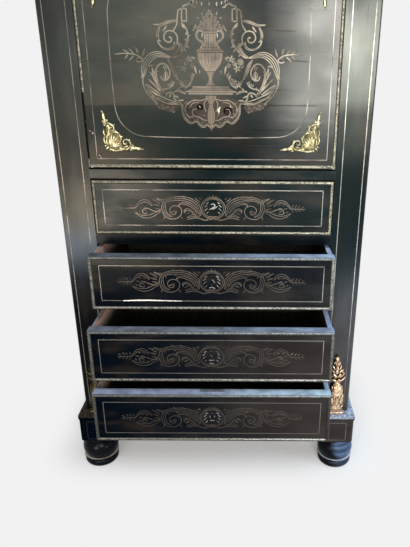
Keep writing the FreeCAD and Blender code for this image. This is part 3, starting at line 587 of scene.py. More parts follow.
def plain_wood(name, pale, dark, stretch, roughness, rubbed=None, rims=()):
    """Wood of two tones drawn out along its grain. At the height of a rim, faces that look up are rubbed
    on the left, with a pale blue painted highlight towards the right and a grey one at the left edge of
    the box, and just under it the inner face of the left side is pale with painted light."""
    material, tree, shader, place = new_finish(name, gloss=0.3)
    streaks = cloud(tree, place, 1.0, 5.0, stretch)
    pores = cloud(tree, place, 3.0, 6.0, stretch)
    colour = mixed(tree, span(tree, streaks, 0.3, 0.7), pale, dark)
    colour = mixed(tree, span(tree, pores, 0.62, 0.75, 0.0, 0.7), colour, darker(dark, 0.3))
    grime = span(tree, cloud(tree, place, 9.0), 0.5, 0.8, 0.0, 0.6)
    colour = mixed(tree, grime, colour, darker(dark, 0.4))
    axes = axes_of(tree, place)
    rightward = axes_of(tree, outward(tree))["X"]
    left_side = times(tree, span(tree, rightward, 0.5, 0.9), span(tree, axes["X"], *LEFT_SIDE_X))
    for rim in rims:
        below = minus(tree, rim, axes["Z"])
        near = span(tree, calc(tree, "ABSOLUTE", below), *RIM_NEAR)
        rubbed_and_highlight = mixed(tree, span(tree, axes["X"], *DUST_TO_HIGHLIGHT_X), rubbed, DUST_AND_BLUE_HIGHLIGHT[1])
        rubbed_and_highlight = mixed(tree, span(tree, axes["X"], *GREY_HIGHLIGHT_X), rubbed_and_highlight, GREY_EDGE_HIGHLIGHT)
        colour = mixed(tree, times(tree, near, dust_and_highlight_mask(tree, place)), colour, rubbed_and_highlight)
        band = times(tree, span(tree, below, -0.002, -0.001), span(tree, below, *LIT_BAND_DOWN))
        colour = mixed(tree, times(tree, band, left_side), colour, LIT_OAK)
    rough = span(tree, streaks, 0.2, 0.8, roughness, roughness + 0.2)
    coat(tree, shader, colour, rough, (0.3, 0.0006, pores))
    return material


DRAWERS = ("drawer_1", "drawer_2", "drawer_3", "drawer_4", "frieze_drawer")
RUBBED_OAK = (0.42, 0.21, 0.14, 1)
rims = [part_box(name + "_box")[1][2] for name in DRAWERS]
# The drawers' oak is far darker than oak: age, and painted shade inside the drawers.
SHADED_BROWN_OAK = ((0.032, 0.028, 0.019, 1), (0.014, 0.0145, 0.0105, 1))
BACK_OAK = ((0.055, 0.043, 0.027, 1), (0.026, 0.021, 0.014, 1))
ROSEWOOD = ((0.20, 0.075, 0.038, 1), (0.06, 0.02, 0.012, 1))
LEATHER_GREEN = ((0.012, 0.035, 0.022, 1), (0.035, 0.052, 0.028, 1))
oak = plain_wood("brown_oak", *SHADED_BROWN_OAK, (120.0, 6.0, 120.0), 0.55, RUBBED_OAK, rims)
upright_oak = plain_wood("upright_oak", *BACK_OAK, (90.0, 90.0, 5.0), 0.6)
rosewood = plain_wood("rosewood", *ROSEWOOD, (5.0, 40.0, 90.0), 0.28)

leather, tree, shader, place = new_finish("green_leather", gloss=0.4)
pebbles = add(tree, "ShaderNodeTexVoronoi", {"Vector": place, "Scale": 700.0}).outputs["Distance"]
fade = span(tree, cloud(tree, place, 7.0), 0.3, 0.75)
rough = span(tree, fade, 0.0, 1.0, 0.42, 0.6)
coat(tree, shader, mixed(tree, fade, *LEATHER_GREEN), rough, (0.4, 0.0004, pebbles))
print("woods:", oak.name, rosewood.name, leather.name)

# %% [markdown]
# ## Metals
# Beads, locks and mounts look like brass or gilt bronze, long since dull. Metal needs two tones at
# least: rubbed high places that shine and hollows that are dark as painted shade. An occlusion node
# finds the hollows, and noise lays the brown patches. Beads are darker where they don't face up, and
# beads and inlay are darker low down and on the left: painted shade by place.

# %% Metals
def low_dim(tree, place, left_low, right_low=1.0, lowest=0.12, left_high=1.0):
    """A share by place, for painted shade: low down it goes from left_low to right_low, and high up from
    left_high to 1.
    """
    axes = axes_of(tree, place)
    least = span(tree, axes["X"], -0.12, 0.26, left_low, right_low)
    most = span(tree, axes["X"], -0.26, 0.26, left_high, 1.0)
    return between(tree, span(tree, axes["Z"], lowest, 0.66), least, most)


GREY_BRASS = (0.205, 0.23, 0.245, 1)
GREY_NEAR = (0.0075, 0.0065)
HIGH_SHINE_Z = (0.45, 0.62)


def old_metal(name, shine, tarnish, shade_colour, patches, roughness, hollow_depth, high_shine=None, greyed=()):
    """Old brass or bronze, brown in patches and dark in hollows as painted shade. With a high shine it
    changes with height, is grey near the heights in greyed, and takes painted shade on faces that don't
    look up, above all low on the right, and more on the left."""
    material, tree, shader, place = new_finish(name, metallic=1.0)
    blot = span(tree, cloud(tree, place, patches, 5.0), 0.38, 0.68)
    speck = span(tree, cloud(tree, place, patches * 9.0, 3.0), 0.55, 0.75, 0.0, 0.6)
    if high_shine:
        height = axes_of(tree, place)["Z"]
        shine = mixed(tree, span(tree, height, *HIGH_SHINE_Z), shine, high_shine)
        for rim in greyed:
            shine = mixed(tree, span(tree, apart(tree, height, rim), *GREY_NEAR), shine, GREY_BRASS)
    colour = mixed(tree, calc(tree, "MAXIMUM", blot, speck), shine, tarnish)
    # Painted shade in the hollows, which the occlusion node finds.
    open_air = add(
        tree, "ShaderNodeAmbientOcclusion", {"Distance": hollow_depth}, samples=6).outputs["AO"]
    colour = mixed(tree, span(tree, open_air, 0.75, 0.25), colour, shade_colour)
    # Painted shade on beads: faces that don't look up go dark, above all low on the right, and the left is
    # darker.
    if high_shine:
        upward = axes_of(tree, outward(tree))["Z"]
        sideways = times(tree, low_dim(tree, place, 0.75, 0.08), 0.7)
        lit_share = calc(tree, "MAXIMUM", span(tree, upward, 0.0, 0.6), sideways)
        colour = mixed(
            tree, times(tree, lit_share, low_dim(tree, place, 0.35, left_high=0.6)), shade_colour, colour)
    rough = span(tree, blot, 0.0, 1.0, roughness, roughness + 0.22)
    coat(tree, shader, colour, rough, (0.25, 0.0004, cloud(tree, place, 420.0, 3.0)))
    return material


open_tops = [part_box(name + "_front")[1][2] for name in DRAWERS[1:4]]
bead_brass = old_metal(
    "bead_brass", (0.34, 0.345, 0.32, 1), (0.10, 0.097, 0.08, 1), (0.012, 0.012, 0.010, 1), 330.0, 0.42,
    0.002, high_shine=(0.36, 0.342, 0.262, 1), greyed=open_tops)
lock_brass = old_metal(
    "lock_brass", (0.20, 0.21, 0.21, 1), (0.09, 0.095, 0.10, 1), (0.02, 0.015, 0.01, 1), 40.0, 0.38,
    0.004)
gilt_bronze = old_metal(
    "gilt_bronze", (0.46, 0.42, 0.26, 1), (0.17, 0.15, 0.075, 1), (0.02, 0.02, 0.008, 1), 160.0, 0.26,
    0.006)
copper_gilt = old_metal(
    "copper_gilt", (0.92, 0.70, 0.49, 1), (0.40, 0.225, 0.115, 1), (0.010, 0.006, 0.004, 1), 120.0, 0.26,
    0.010)
print("metals:", bead_brass.name, lock_brass.name, gilt_bronze.name, copper_gilt.name)

# %% Finishes on the frame's own boards
SLOT_FINISH = {
    "ebonised_wood": level_polish,
    "secondary_wood": oak,
    "inner_veneer": rosewood,
    "bead_brass": bead_brass,
    "gilt_bronze": gilt_bronze,
    "lock_brass": lock_brass,
    "leather": leather,
}
OWN_FINISH = {
    "leaf_panel": leaf_polish,
    "feet": foot_polish,
    "back_boards": upright_oak,
    "plinth_cap": cap_polish,
    "stile_left": left_polish,
    "side_left": left_polish,
    "stile_right": right_polish,
    "side_right": right_polish,
}
# The top edges of the third and fourth fronts take a brighter blue painted highlight.
RIM_HIGHLIGHT = {
    "drawer_3_front": ((0.19, 0.21, 0.26, 1), (0.37, 0.48, 0.66, 1)),
    "drawer_4_front": ((0.34, 0.38, 0.52, 1), (0.62, 0.84, 1.0, 1)),
}
for name, dust_and_highlight in RIM_HIGHLIGHT.items():
    OWN_FINISH[name] = black_polish(
        name + "_polish", LEVEL, NEUTRAL, (POLISH_BLUE, POLISH_TEAL), level_shine, dust_and_highlight=dust_and_highlight)
for name, board in nodes.items():
    for slot in board.material_slots:
        slot.material = OWN_FINISH.get(name, SLOT_FINISH[slot.material.name.split(".")[0]])
print("boards finished:", len(nodes))

# %% [markdown]
# ## Two cutting tools: a ribbon and a leaf
# Brass inlay and chased bronze look rich, but they repeat two shapes: a ribbon that follows a curve and
# swells on its way, and a small pointed leaf. Each is a geometry tree. The ribbon tree sweeps a flat
# section along every curve it is given and takes the width from the curve's radius. The leaf tree makes
# one leaf from a small grid and sets it on every point. Both store where a spot lies across the width,
# so that a finish can draw the engraved outline.

# %% Geometry tree helpers
def geometry_tree(name, inputs):
    """An empty geometry tree with named inputs: the tree, its inputs and its output."""
    tree = bpy.data.node_groups.new(name, "GeometryNodeTree")
    tree.interface.new_socket("Geometry", in_out="INPUT", socket_type="NodeSocketGeometry")
    for label, kind in inputs.items():
        tree.interface.new_socket(label, in_out="INPUT", socket_type="NodeSocket" + kind)
    tree.interface.new_socket("Geometry", in_out="OUTPUT", socket_type="NodeSocketGeometry")
    return tree, tree.nodes.new("NodeGroupInput").outputs, tree.nodes.new("NodeGroupOutput").inputs[0]


def store(tree, geometry, name, value):
    """Keep a value on the points of a geometry, under a name that finishes can read."""
    kept = {"Geometry": geometry, "Name": name, "Value": value}
    return add(tree, "GeometryNodeStoreNamedAttribute", kept, domain="POINT").outputs[0]


def recall(tree, name, kind="FLOAT"):
    return add(
        tree, "GeometryNodeInputNamedAttribute", {"Name": name}, data_type=kind).outputs["Attribute"]


def axes_of_points(tree):
    return axes_of(tree, add(tree, "GeometryNodeInputPosition").outputs[0])


def close_tree(tree, geometry, given, output):
    """End every tree the same way: real geometry, shading and finish."""
    whole = add(tree, "GeometryNodeRealizeInstances", {"Geometry": geometry}).outputs[0]
    shaded = {"Geometry": whole, "Shade Smooth": given["Smooth"]}
    smooth = add(tree, "GeometryNodeSetShadeSmooth", shaded).outputs[0]
    painted = add(tree, "GeometryNodeSetMaterial", {"Geometry": smooth, "Material": given["Material"]})
    tree.links.new(painted.outputs[0], output)


def grown(name, data, tree, settings):
    """Run a geometry tree on a curve or a mesh, and give back the plain mesh that it makes."""
    seed = bpy.data.objects.new(name, data)
    bpy.context.scene.collection.objects.link(seed)
    modifier = seed.modifiers.new(tree.name, "NODES")
    modifier.node_group = tree
    for socket in tree.interface.items_tree:
        if socket.in_out == "INPUT" and socket.name in settings:
            modifier[socket.identifier] = settings[socket.name]
    graph = bpy.context.evaluated_depsgraph_get()
    mesh = bpy.data.meshes.new_from_object(
        seed.evaluated_get(graph), preserve_all_data_layers=True, depsgraph=graph)
    bpy.data.objects.remove(seed)
    mesh.name = name
    mesh.materials.clear()
    mesh.materials.append(settings["Material"])
    return mesh


# %% Ribbon tree
RIBBON_INPUTS = {
    "Proud": "Float", "Sink": "Float", "Round": "Float", "Cuts": "Int", "Smooth": "Bool",
    "Material": "Material",
}
ribbon, given, output = geometry_tree("inlaid_ribbon", RIBBON_INPUTS)
half = add(ribbon, "GeometryNodeInputRadius").outputs[0]
path = store(ribbon, given["Geometry"], "half_width", half)
path = store(ribbon, path, "lift", axes_of_points(ribbon)["Z"])
path = add(ribbon, "GeometryNodeSetCurveNormal", {"Curve": path}, mode="Z_UP").outputs[0]
section = add(ribbon, "GeometryNodeCurvePrimitiveQuadrilateral", {"Width": 2.0, "Height": 2.0}).outputs[0]
section = add(ribbon, "GeometryNodeSubdivideCurve", {"Curve": section, "Cuts": given["Cuts"]}).outputs[0]
section = store(ribbon, section, "across", axes_of_points(ribbon)["X"])
section = store(ribbon, section, "upper", axes_of_points(ribbon)["Y"])
swept = {"Curve": path, "Profile Curve": section, "Scale": half, "Fill Caps": True}
strip = add(ribbon, "GeometryNodeCurveToMesh", swept).outputs[0]
across = recall(ribbon, "across")
arch = minus(ribbon, 1.0, times(ribbon, across, across))
crown = calc(ribbon, "SQRT", calc(ribbon, "MAXIMUM", arch, 0.0))
crown = times(ribbon, crown, recall(ribbon, "half_width"), given["Round"])
rise = plus(ribbon, plus(ribbon, crown, given["Proud"]), given["Sink"])
rise = times(ribbon, rise, calc(ribbon, "MULTIPLY_ADD", recall(ribbon, "upper"), 0.5))
level = axes_of_points(ribbon)
height = plus(ribbon, minus(ribbon, recall(ribbon, "lift"), given["Sink"]), rise)
spot = add(ribbon, "ShaderNodeCombineXYZ", {"X": level["X"], "Y": level["Y"], "Z": height}).outputs[0]
strip = add(ribbon, "GeometryNodeSetPosition", {"Geometry": strip, "Position": spot}).outputs[0]
close_tree(ribbon, strip, given, output)
print("tree:", ribbon.name, len(ribbon.nodes), "nodes")

# %% Leaf tree
LEAF_INPUTS = {
    "Relief": "Float", "Sink": "Float", "Curl": "Float", "Smooth": "Bool", "Material": "Material",
}
leaf, given, output = geometry_tree("small_leaf", LEAF_INPUTS)
grid = {"Size X": 1.0, "Size Y": 2.0, "Vertices X": 7, "Vertices Y": 5}
sheet = add(leaf, "GeometryNodeMeshGrid", grid).outputs[0]
axes = axes_of_points(leaf)
sheet = store(leaf, sheet, "along", plus(leaf, axes["X"], 0.5))
sheet = store(leaf, sheet, "across", axes["Y"])
along = recall(leaf, "along")
across = recall(leaf, "across")
wave = calc(leaf, "SINE", times(leaf, calc(leaf, "POWER", along, 0.8), math.pi))
wave = calc(leaf, "MAXIMUM", wave, 0.0)
swell = times(leaf, calc(leaf, "POWER", wave, 0.8), times(leaf, across, 0.5))
wide = calc(leaf, "ABSOLUTE", across)
groove = plus(leaf, times(leaf, wide, 0.9), 0.6)
hump = times(leaf, minus(leaf, 1.0, times(leaf, across, across)), groove)
hump = times(leaf, hump, calc(leaf, "POWER", wave, 0.4))
bend = times(leaf, times(leaf, along, along), given["Curl"])
low = minus(leaf, bend, given["Sink"])
high = plus(leaf, low, times(leaf, hump, plus(leaf, given["Relief"], given["Sink"])))
faces = []
for level in (high, low):
    spot = add(leaf, "ShaderNodeCombineXYZ", {"X": along, "Y": swell, "Z": level}).outputs[0]
    faces.append(add(leaf, "GeometryNodeSetPosition", {"Geometry": sheet, "Position": spot}).outputs[0])
faces[1] = add(leaf, "GeometryNodeFlipFaces", {0: faces[1]}).outputs[0]
both = add(leaf, "GeometryNodeJoinGeometry")
for face in reversed(faces):
    leaf.links.new(face, both.inputs[0])
shape = add(
    leaf, "GeometryNodeMergeByDistance", {"Geometry": both.outputs[0], "Distance": 0.0001}).outputs[0]
turn = add(leaf, "FunctionNodeEulerToRotation", {0: recall(leaf, "turn", "FLOAT_VECTOR")}).outputs[0]
spread = {
    "Points": given["Geometry"], "Instance": shape, "Rotation": turn,
    "Scale": recall(leaf, "size", "FLOAT_VECTOR"),
}
leaves = add(leaf, "GeometryNodeInstanceOnPoints", spread).outputs[0]
close_tree(leaf, leaves, given, output)
print("tree:", leaf.name, len(leaf.nodes), "nodes")

# %% Strokes, written as points in millimetres
INLAY_PROUD = 0.22
INLAY_SINK = 0.3


def widths_along(widths, count):
    """The listed widths, spread evenly over so many points."""
    spread = []
    for index in range(count):
        spot = index * (len(widths) - 1) / max(count - 1, 1)
        step = min(int(spot), len(widths) - 2)
        spread.append(widths[step] + (widths[step + 1] - widths[step]) * (spot - step))
    return spread


def ribbon_mesh(
        name, strokes, finish, proud=INLAY_PROUD, sink=INLAY_SINK, crown=0.0, cuts=1, smooth=False):
    """One mesh of all the strokes, each with points and widths, and closed if it ends where it starts."""
    data = bpy.data.curves.new(name, "CURVE")
    data.dimensions = "3D"
    for points, widths in strokes:
        spots = [Vector(point).to_3d() * MM for point in points]
        closed = len(spots) > 3 and (spots[0] - spots[-1]).length < 1e-6
        spots = spots[:-1] if closed else spots
        spline = data.splines.new("BEZIER")
        spline.bezier_points.add(len(spots) - 1)
        spline.use_cyclic_u = closed
        spline.resolution_u = 6 if len(spots) > 2 else 1
        for index, width in enumerate(widths_along(widths, len(spots))):
            before = spots[index - 1] if closed or index else spots[0]
            after = spots[(index + 1) % len(spots)] if closed or index < len(spots) - 1 else spots[-1]
            knot = spline.bezier_points[index]
            knot.handle_left_type = knot.handle_right_type = "FREE"
            along = (after - before).normalized()
            knot.co = spots[index]
            knot.handle_left = spots[index] - along * (spots[index] - before).length / 3
            knot.handle_right = spots[index] + along * (after - spots[index]).length / 3
            knot.radius = max(width, 0.1) * MM / 2
    settings = {
        "Proud": proud * MM, "Sink": sink * MM, "Round": crown, "Cuts": cuts, "Smooth": smooth,
        "Material": finish,
    }
    return grown(name, data, ribbon, settings)


def straight(start, end, width):
    """A stroke of one width between two points."""
    return [start, end], (width, width)


def oval(half_x, half_y, middle, steps):
    """Points round an oval, of which the last is the first again."""
    turns = [2 * math.pi * step / steps for step in range(steps + 1)]
    return [(middle[0] + half_x * math.cos(a), middle[1] + half_y * math.sin(a)) for a in turns]


def bundle(points, spread, lines, width):
    """Thin strokes side by side along one path. The spread lists how far they open along it."""
    made = []
    opened = widths_along(spread, len(points))
    for line in range(lines):
        side = line / (lines - 1) - 0.5
        moved = []
        for step, (x, y) in enumerate(points):
            run = Vector(points[min(step + 1, len(points) - 1)]) - Vector(points[max(step - 1, 0)])
            run.normalize()
            moved.append((x - run.y * side * opened[step], y + run.x * side * opened[step]))
        made.append((moved, (0.6 * width, width, width, 0.6 * width)))
    return made


def mirrored_strokes(strokes):
    return [([(-point[0],) + tuple(point[1:]) for point in points], widths) for points, widths in strokes]


# %% Sprigs of leaves, also in millimetres
def leaf_mesh(name, sprigs, finish, relief=1.0, sink=0.6, curl=0.0, smooth=False):
    """One mesh of all the leaves. A leaf is its place, turn and size, in millimetres and radians."""
    mesh = bpy.data.meshes.new(name)
    mesh.from_pydata([Vector(place) * MM for place, turn, size in sprigs], [], [])
    for kept, kind in (("turn", "FLOAT_VECTOR"), ("size", "FLOAT_VECTOR"), ("half_width", "FLOAT")):
        mesh.attributes.new(kept, kind, "POINT")
    for index, (place, turn, size) in enumerate(sprigs):
        mesh.attributes["turn"].data[index].vector = turn
        mesh.attributes["size"].data[index].vector = Vector(size) * MM
        mesh.attributes["half_width"].data[index].value = size[1] * MM / 2
    settings = {"Relief": relief, "Sink": sink, "Curl": curl, "Smooth": smooth, "Material": finish}
    return grown(name, mesh, leaf, settings)


def flat_leaf(base, tip, width, height=0.3, lift=0.0):
    """A leaf lying in the drawing's plane, from its base to its tip."""
    run = Vector(tip) - Vector(base)
    return (base[0], base[1], lift), (0.0, 0.0, math.atan2(run.y, run.x)), (run.length, width, height)


def flat_leaves(rows):
    return [flat_leaf(base, tip, width) for base, tip, width in rows]


def rosette(centre, radius, petals, width, start=0.0):
    """Petals round a centre."""
    made = []
    for index in range(petals):
        angle = start + 2 * math.pi * index / petals
        tip = (centre[0] + radius * math.cos(angle), centre[1] + radius * math.sin(angle))
        made.append(flat_leaf(centre, tip, width))
    return made


def mirrored_sprigs(sprigs):
    return [((-p[0], p[1], p[2]), (t[0], t[1], math.pi - t[2]), s) for p, t, s in sprigs]


# %% Plates, and laying a drawing on the desk
UPRIGHT = Matrix.Rotation(math.radians(90), 4, "X")


def laid_on(mesh, origin):
    """A copy of a drawing's mesh, stood upright and facing the front, with its origin at a place."""
    placed = mesh.copy()
    placed.transform(Matrix.Translation(origin) @ UPRIGHT)
    return placed


def slab(name, outlines, thickness, finish):
    """Flat plates with given outlines, in the drawing's plane."""
    shape = bmesh.new()
    for outline in outlines:
        low = [shape.verts.new((x * MM, y * MM, 0.0)) for x, y in outline]
        high = [shape.verts.new((x * MM, y * MM, thickness * MM)) for x, y in outline]
        shape.faces.new(low)
        shape.faces.new(high)
        for index in range(len(outline)):
            shape.faces.new((low[index - 1], low[index], high[index], high[index - 1]))
    bmesh.ops.recalc_face_normals(shape, faces=shape.faces)
    mesh = bpy.data.meshes.new(name)
    shape.to_mesh(mesh)
    shape.free()
    mesh.materials.append(finish)
    return mesh


def fix(name, mesh, body, slot, *replaced):
    """Make a mesh a piece of the desk that rides on a body."""
    piece = bpy.data.objects.new(name, mesh)
    bpy.context.scene.collection.objects.link(piece)
    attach(piece, body)
    if replaced:
        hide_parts(*replaced)


# %% [markdown]
# ## Inlay finishes
# The inlay is sheet brass, engraved and gone brown. Its outlines catch the light more than the middle
# of each leaf, so the finish works out the distance to the edge from what the trees stored, and draws a
# paler rim and a vein. Here and there the metal is black with old polish. Low down and on the left it is
# darkened towards black as painted shade.

# %% Inlay finishes
RIM = 0.0010
LOST_BLACK = (0.012, 0.010, 0.009, 1)
DIM_BLACK = (0.004, 0.004, 0.005, 1)
VEIN = (0.0006, 0.0003)
VEINED_FROM = (0.0018, 0.0024)


def inlaid_metal(name, line, fill, lost, graved=0.5, shares=(0.38, 0.5, 0.12, 0.85)):
    """Engraved sheet brass with a paler rim and vein, black where it is lost, and dimmed by place by the
    shares as painted shade.
    """
    material, tree, shader, place = new_finish(name, metallic=1.0)
    across = calc(
        tree, "ABSOLUTE", add(tree, "ShaderNodeAttribute", attribute_name="across").outputs["Fac"])
    half = add(tree, "ShaderNodeAttribute", attribute_name="half_width").outputs["Fac"]
    rim = span(tree, times(tree, minus(tree, 1.0, across), half), RIM, 0.6 * RIM)
    vein = span(tree, times(tree, across, half), *VEIN)
    vein = times(tree, vein, span(tree, half, *VEINED_FROM))
    graver = {"Vector": place, "Scale": 115.0, "Distortion": 5.0, "Detail": 2.0, "Detail Scale": 0.6}
    hatching = add(tree, "ShaderNodeTexWave", graver, bands_direction="DIAGONAL").outputs["Fac"]
    cut = mixed(tree, span(tree, hatching, 0.25, 0.7), darker(fill, graved), fill)
    colour = mixed(tree, calc(tree, "MAXIMUM", rim, vein), cut, line)
    dim = span(tree, cloud(tree, place, 22.0, 5.0), 0.40, 0.72, 0.0, 1.0)
    colour = mixed(tree, times(tree, dim, lost), colour, LOST_BLACK)
    # Painted shade: darker towards black low down and on the left, by the shares.
    colour = mixed(tree, low_dim(tree, place, *shares), DIM_BLACK, colour)
    rough = span(tree, dim, 0.0, 1.0, 0.34, 0.5)
    coat(tree, shader, colour, rough, (0.2, 0.0003, cloud(tree, place, 500.0, 2.0)))
    return material


SMOKY = (0.024, 0.021, 0.018, 1)
STRING = (0.27, 0.262, 0.24, 1)
DULL_STRING = (0.165, 0.152, 0.137, 1)
COLD_STRING = (0.20, 0.20, 0.19, 1)
WHITE_GLINT_BRASS = (0.85, 0.85, 0.83, 1)
drawer_inlay = inlaid_metal(
    "drawer_inlay", (0.172, 0.152, 0.130, 1), (0.045, 0.037, 0.031, 1), 0.6,
    shares=(0.42, 0.62, 0.48, 0.47))
leaf_inlay = inlaid_metal("leaf_inlay", (0.14, 0.126, 0.10, 1), (0.050, 0.043, 0.034, 1), 0.5)
sprig_inlay = inlaid_metal("sprig_inlay", (0.20, 0.185, 0.155, 1), (0.09, 0.08, 0.064, 1), 0.5)
rose_inlay = inlaid_metal("rose_inlay", (0.118, 0.102, 0.083, 1), (0.072, 0.061, 0.049, 1), 0.4, 0.85)
smoky_inlay = inlaid_metal("smoky_inlay", SMOKY, SMOKY, 0.7)
string_brass = inlaid_metal("string_brass", STRING, STRING, 0.6, shares=(0.5, 0.6, 0.12, 0.34))
leaf_string = inlaid_metal("leaf_string", DULL_STRING, DULL_STRING, 0.6, shares=(0.5, 0.5, 0.12, 0.6))
plinth_string = inlaid_metal(
    "plinth_string", COLD_STRING, COLD_STRING, 0.6, shares=(0.12, 1.0, 0.12, 1.0))
# Pale metal for curls and strokes round the keyholes, set where glints show: a painted highlight.
pale_glint_inlay = inlaid_metal(
    "pale_glint_inlay", (0.34, 0.35, 0.36, 1), (0.26, 0.27, 0.28, 1), 0.8, shares=(0.9, 0.9, 0.12, 1.0))
# The lifted strip is near white: a painted highlight on brass that stands off the wood.
lifted_brass = inlaid_metal("lifted_brass", WHITE_GLINT_BRASS, WHITE_GLINT_BRASS, 0.1)
# Near black for losses in the inlay, and as painted shade for the gap of the lost bead and the shadow line
# under the rail.
GAP_AND_SHADOW_BLACKS = ((0.0015, 0.0015, 0.0015, 1), (0.006, 0.005, 0.004, 1))
gap_black = blotted("gap_black", 0.05, 120.0, (0.3, 0.7), GAP_AND_SHADOW_BLACKS, 0.9)
print("inlay:", drawer_inlay.name, leaf_inlay.name, rose_inlay.name, string_brass.name, pale_glint_inlay.name)

# %% [markdown]
# ## Stringing
# Thin brass lines run round the leaf, the drawers, the stiles and the plinth blocks. They are straight
# strips that meet at the corners, so each is a stroke of two points. The inner line of the leaf has
# round corners and is one closed stroke. Where brass has come loose, a stroke with more points lifts
# off the wood.

# %% Stringing
LINE = 1.5


def line_frame(half_x, low, high, width=LINE, middle=0.0):
    """Four straight lines round a rectangle."""
    left = middle - half_x
    right = middle + half_x
    lap = width / 2
    ends = [((left - lap, low), (right + lap, low)), ((left - lap, high), (right + lap, high))]
    ends += [((left, low), (left, high)), ((right, low), (right, high))]
    return [straight(start, end, width) for start, end in ends]


def paired_frames(sides, ends, width=LINE):
    """A frame of lines on the right, and its mirror image on the left."""
    lines = line_frame((sides[1] - sides[0]) / 2, *ends, width, sum(sides) / 2)
    return lines + mirrored_strokes(lines)


def round_frame(half_x, low, high, corner, width=LINE):
    """One closed line round a rectangle with round corners."""
    points = []
    for turn, (x, y) in enumerate(((half_x, high), (-half_x, high), (-half_x, low), (half_x, low))):
        centre = (x - math.copysign(corner, x), y + (corner if y == low else -corner))
        for step in range(4):
            angle = math.pi / 2 * (turn + step / 3)
            points.append((centre[0] + corner * math.cos(angle), centre[1] + corner * math.sin(angle)))
    return points + points[:1], (width, width)


def string_piece(name, strokes, body, origin, finish=string_brass):
    fix(name, laid_on(ribbon_mesh(name, strokes, finish), origin), body, "bead_brass")


leaf_h = (LEAF_HIGH[2] - LEAF_LOW[2]) / MM
LEAF_ORIGIN = (0.0, LEAF_LOW[1], LEAF_LOW[2])
LEAF_LINE_X = 236.5
LEAF_LINE_IN = 18.6
ROUND_LINE_X = 191.5
ROUND_LINE_IN = 63.6
ROUND_LINE_R = 60.0
LIFTED = (
    (0, 32, 0), (-0.4, 27, 0.5), (1, 21, 1.4), (5, 18.5, 2.2), (8.5, 21.5, 2.8), (7, 26, 3.2),
    (3.5, 26.5, 3.4),
)
lines = line_frame(LEAF_LINE_X, LEAF_LINE_IN, leaf_h - LEAF_LINE_IN)
lines[2] = straight((-LEAF_LINE_X, LIFTED[0][1]), (-LEAF_LINE_X, leaf_h - LEAF_LINE_IN), LINE)
lines.append(([(x - LEAF_LINE_X, y, z) for x, y, z in LIFTED], (LINE, LINE)))
lines.append(round_frame(ROUND_LINE_X, ROUND_LINE_IN, leaf_h - ROUND_LINE_IN, ROUND_LINE_R))
string_piece("leaf_stringing", lines, "leaf", LEAF_ORIGIN, leaf_string)

DRAWER_LINE_X = 233.0
DRAWER_LINE_IN = 20.0
FRIEZE_LINE_IN = 12.0
KEY_RISES = {"drawer_2": 5.0, "drawer_3": 1.6, "drawer_4": 1.0}
fronts = {}
keyholes = {}
for name in DRAWERS:
    low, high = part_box(name + "_front")
    half_h = (high[2] - low[2]) / MM / 2
    fronts[name] = (0.0, low[1], (low[2] + high[2]) / 2)
    keyholes[name] = (0.0, low[1], fronts[name][2] + KEY_RISES.get(name, 0.0) * MM)
    inset = half_h - (FRIEZE_LINE_IN if name == "frieze_drawer" else DRAWER_LINE_IN)
    string_piece(name + "_stringing", line_frame(DRAWER_LINE_X, -inset, inset), name, fronts[name])

LOOSE = (
    (-188, 0, 0.3), (-176, 0.5, 0.8), (-156, 1.8, 1.8), (-120, 1.8, 2.0), (-88, 0.6, 1.0), (-64, 0, 0.2),
)
low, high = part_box("drawer_2_front")
low_line = DRAWER_LINE_IN - (high[2] - low[2]) / MM / 2
strip = [([(x, y + low_line, z) for x, y, z in LOOSE], (1.4, 2.4, 2.4, 1.4))]
# The loose strip on the second drawer lifts off the wood and is near white, a painted highlight.
string_piece("drawer_2_loose_strip", strip, "drawer_2", fronts["drawer_2"], lifted_brass)

STILE_LINES = (269.5, 313.8)
STILE_LINE_ENDS = (168.0, 1262.0)
BLOCK_LINES = (276.0, 317.5)
BLOCK_LINE_ENDS = (86.0, 136.5)
BLOCK_LINE = 1.3
stile_front = (0.0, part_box("stile_right")[0][1], 0.0)
block_front = (0.0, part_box("plinth_blocks")[0][1], 0.0)
string_piece("stile_stringing", paired_frames(STILE_LINES, STILE_LINE_ENDS), "carcass", stile_front)
lines = paired_frames(BLOCK_LINES, BLOCK_LINE_ENDS, BLOCK_LINE)
string_piece("plinth_stringing", lines, "carcass", block_front, plinth_string)
print("stringing on", len(DRAWERS), "drawers, leaf, stiles and plinth")

# %% [markdown]
# ## Drawer inlay
# Every drawer carries the same scrollwork: a round cartouche at the keyhole, and on each side an
# acanthus arm that rolls into a volute, a second smaller scroll, and a sprig. One half is drawn in
# millimetres from the keyhole, mirrored, cut once, and laid on each front, smaller on the frieze
# drawer.

# %% Drawer inlay
ARM = [
    ([(104, 15), (109, 5), (109, -6), (104, -17), (92, -24), (78, -22.5), (69, -14.5), (67.5, -4),
      (72.5, 2.5), (81, 5), (90, 1), (92.5, -6), (89, -12.5), (82.5, -14), (79, -9)],
      (1.6, 2, 2, 2, 1.6, 1.4, 1.4, 1.4, 1.4, 1.4, 1.6, 1.4)),
    ([(2, -24), (16, -26.5), (36, -21.5), (56, -25)], (1.6, 2.4, 2.2, 1)),
    ([(109, -2), (118, -7), (128, -6.5), (134, -3)], (2.4, 2.4, 1.6)),
    ([(133, -5), (140, -1), (148, -3), (151, -9), (146, -13), (140, -11)], (1.2, 1.6, 1.6, 1.4, 1.2)),
    ([(164, -0.5), (181, -1), (197, -1.5)], (1.4, 1.0, 0.7)),
    ([(0, -19), (6, -18.5), (11, -21), (12, -25), (7, -26)], (1.6, 2, 1.8, 1.4)),
    ([(28, 13), (33, 17), (38, 22)], (1, 1.6, 1)),
]
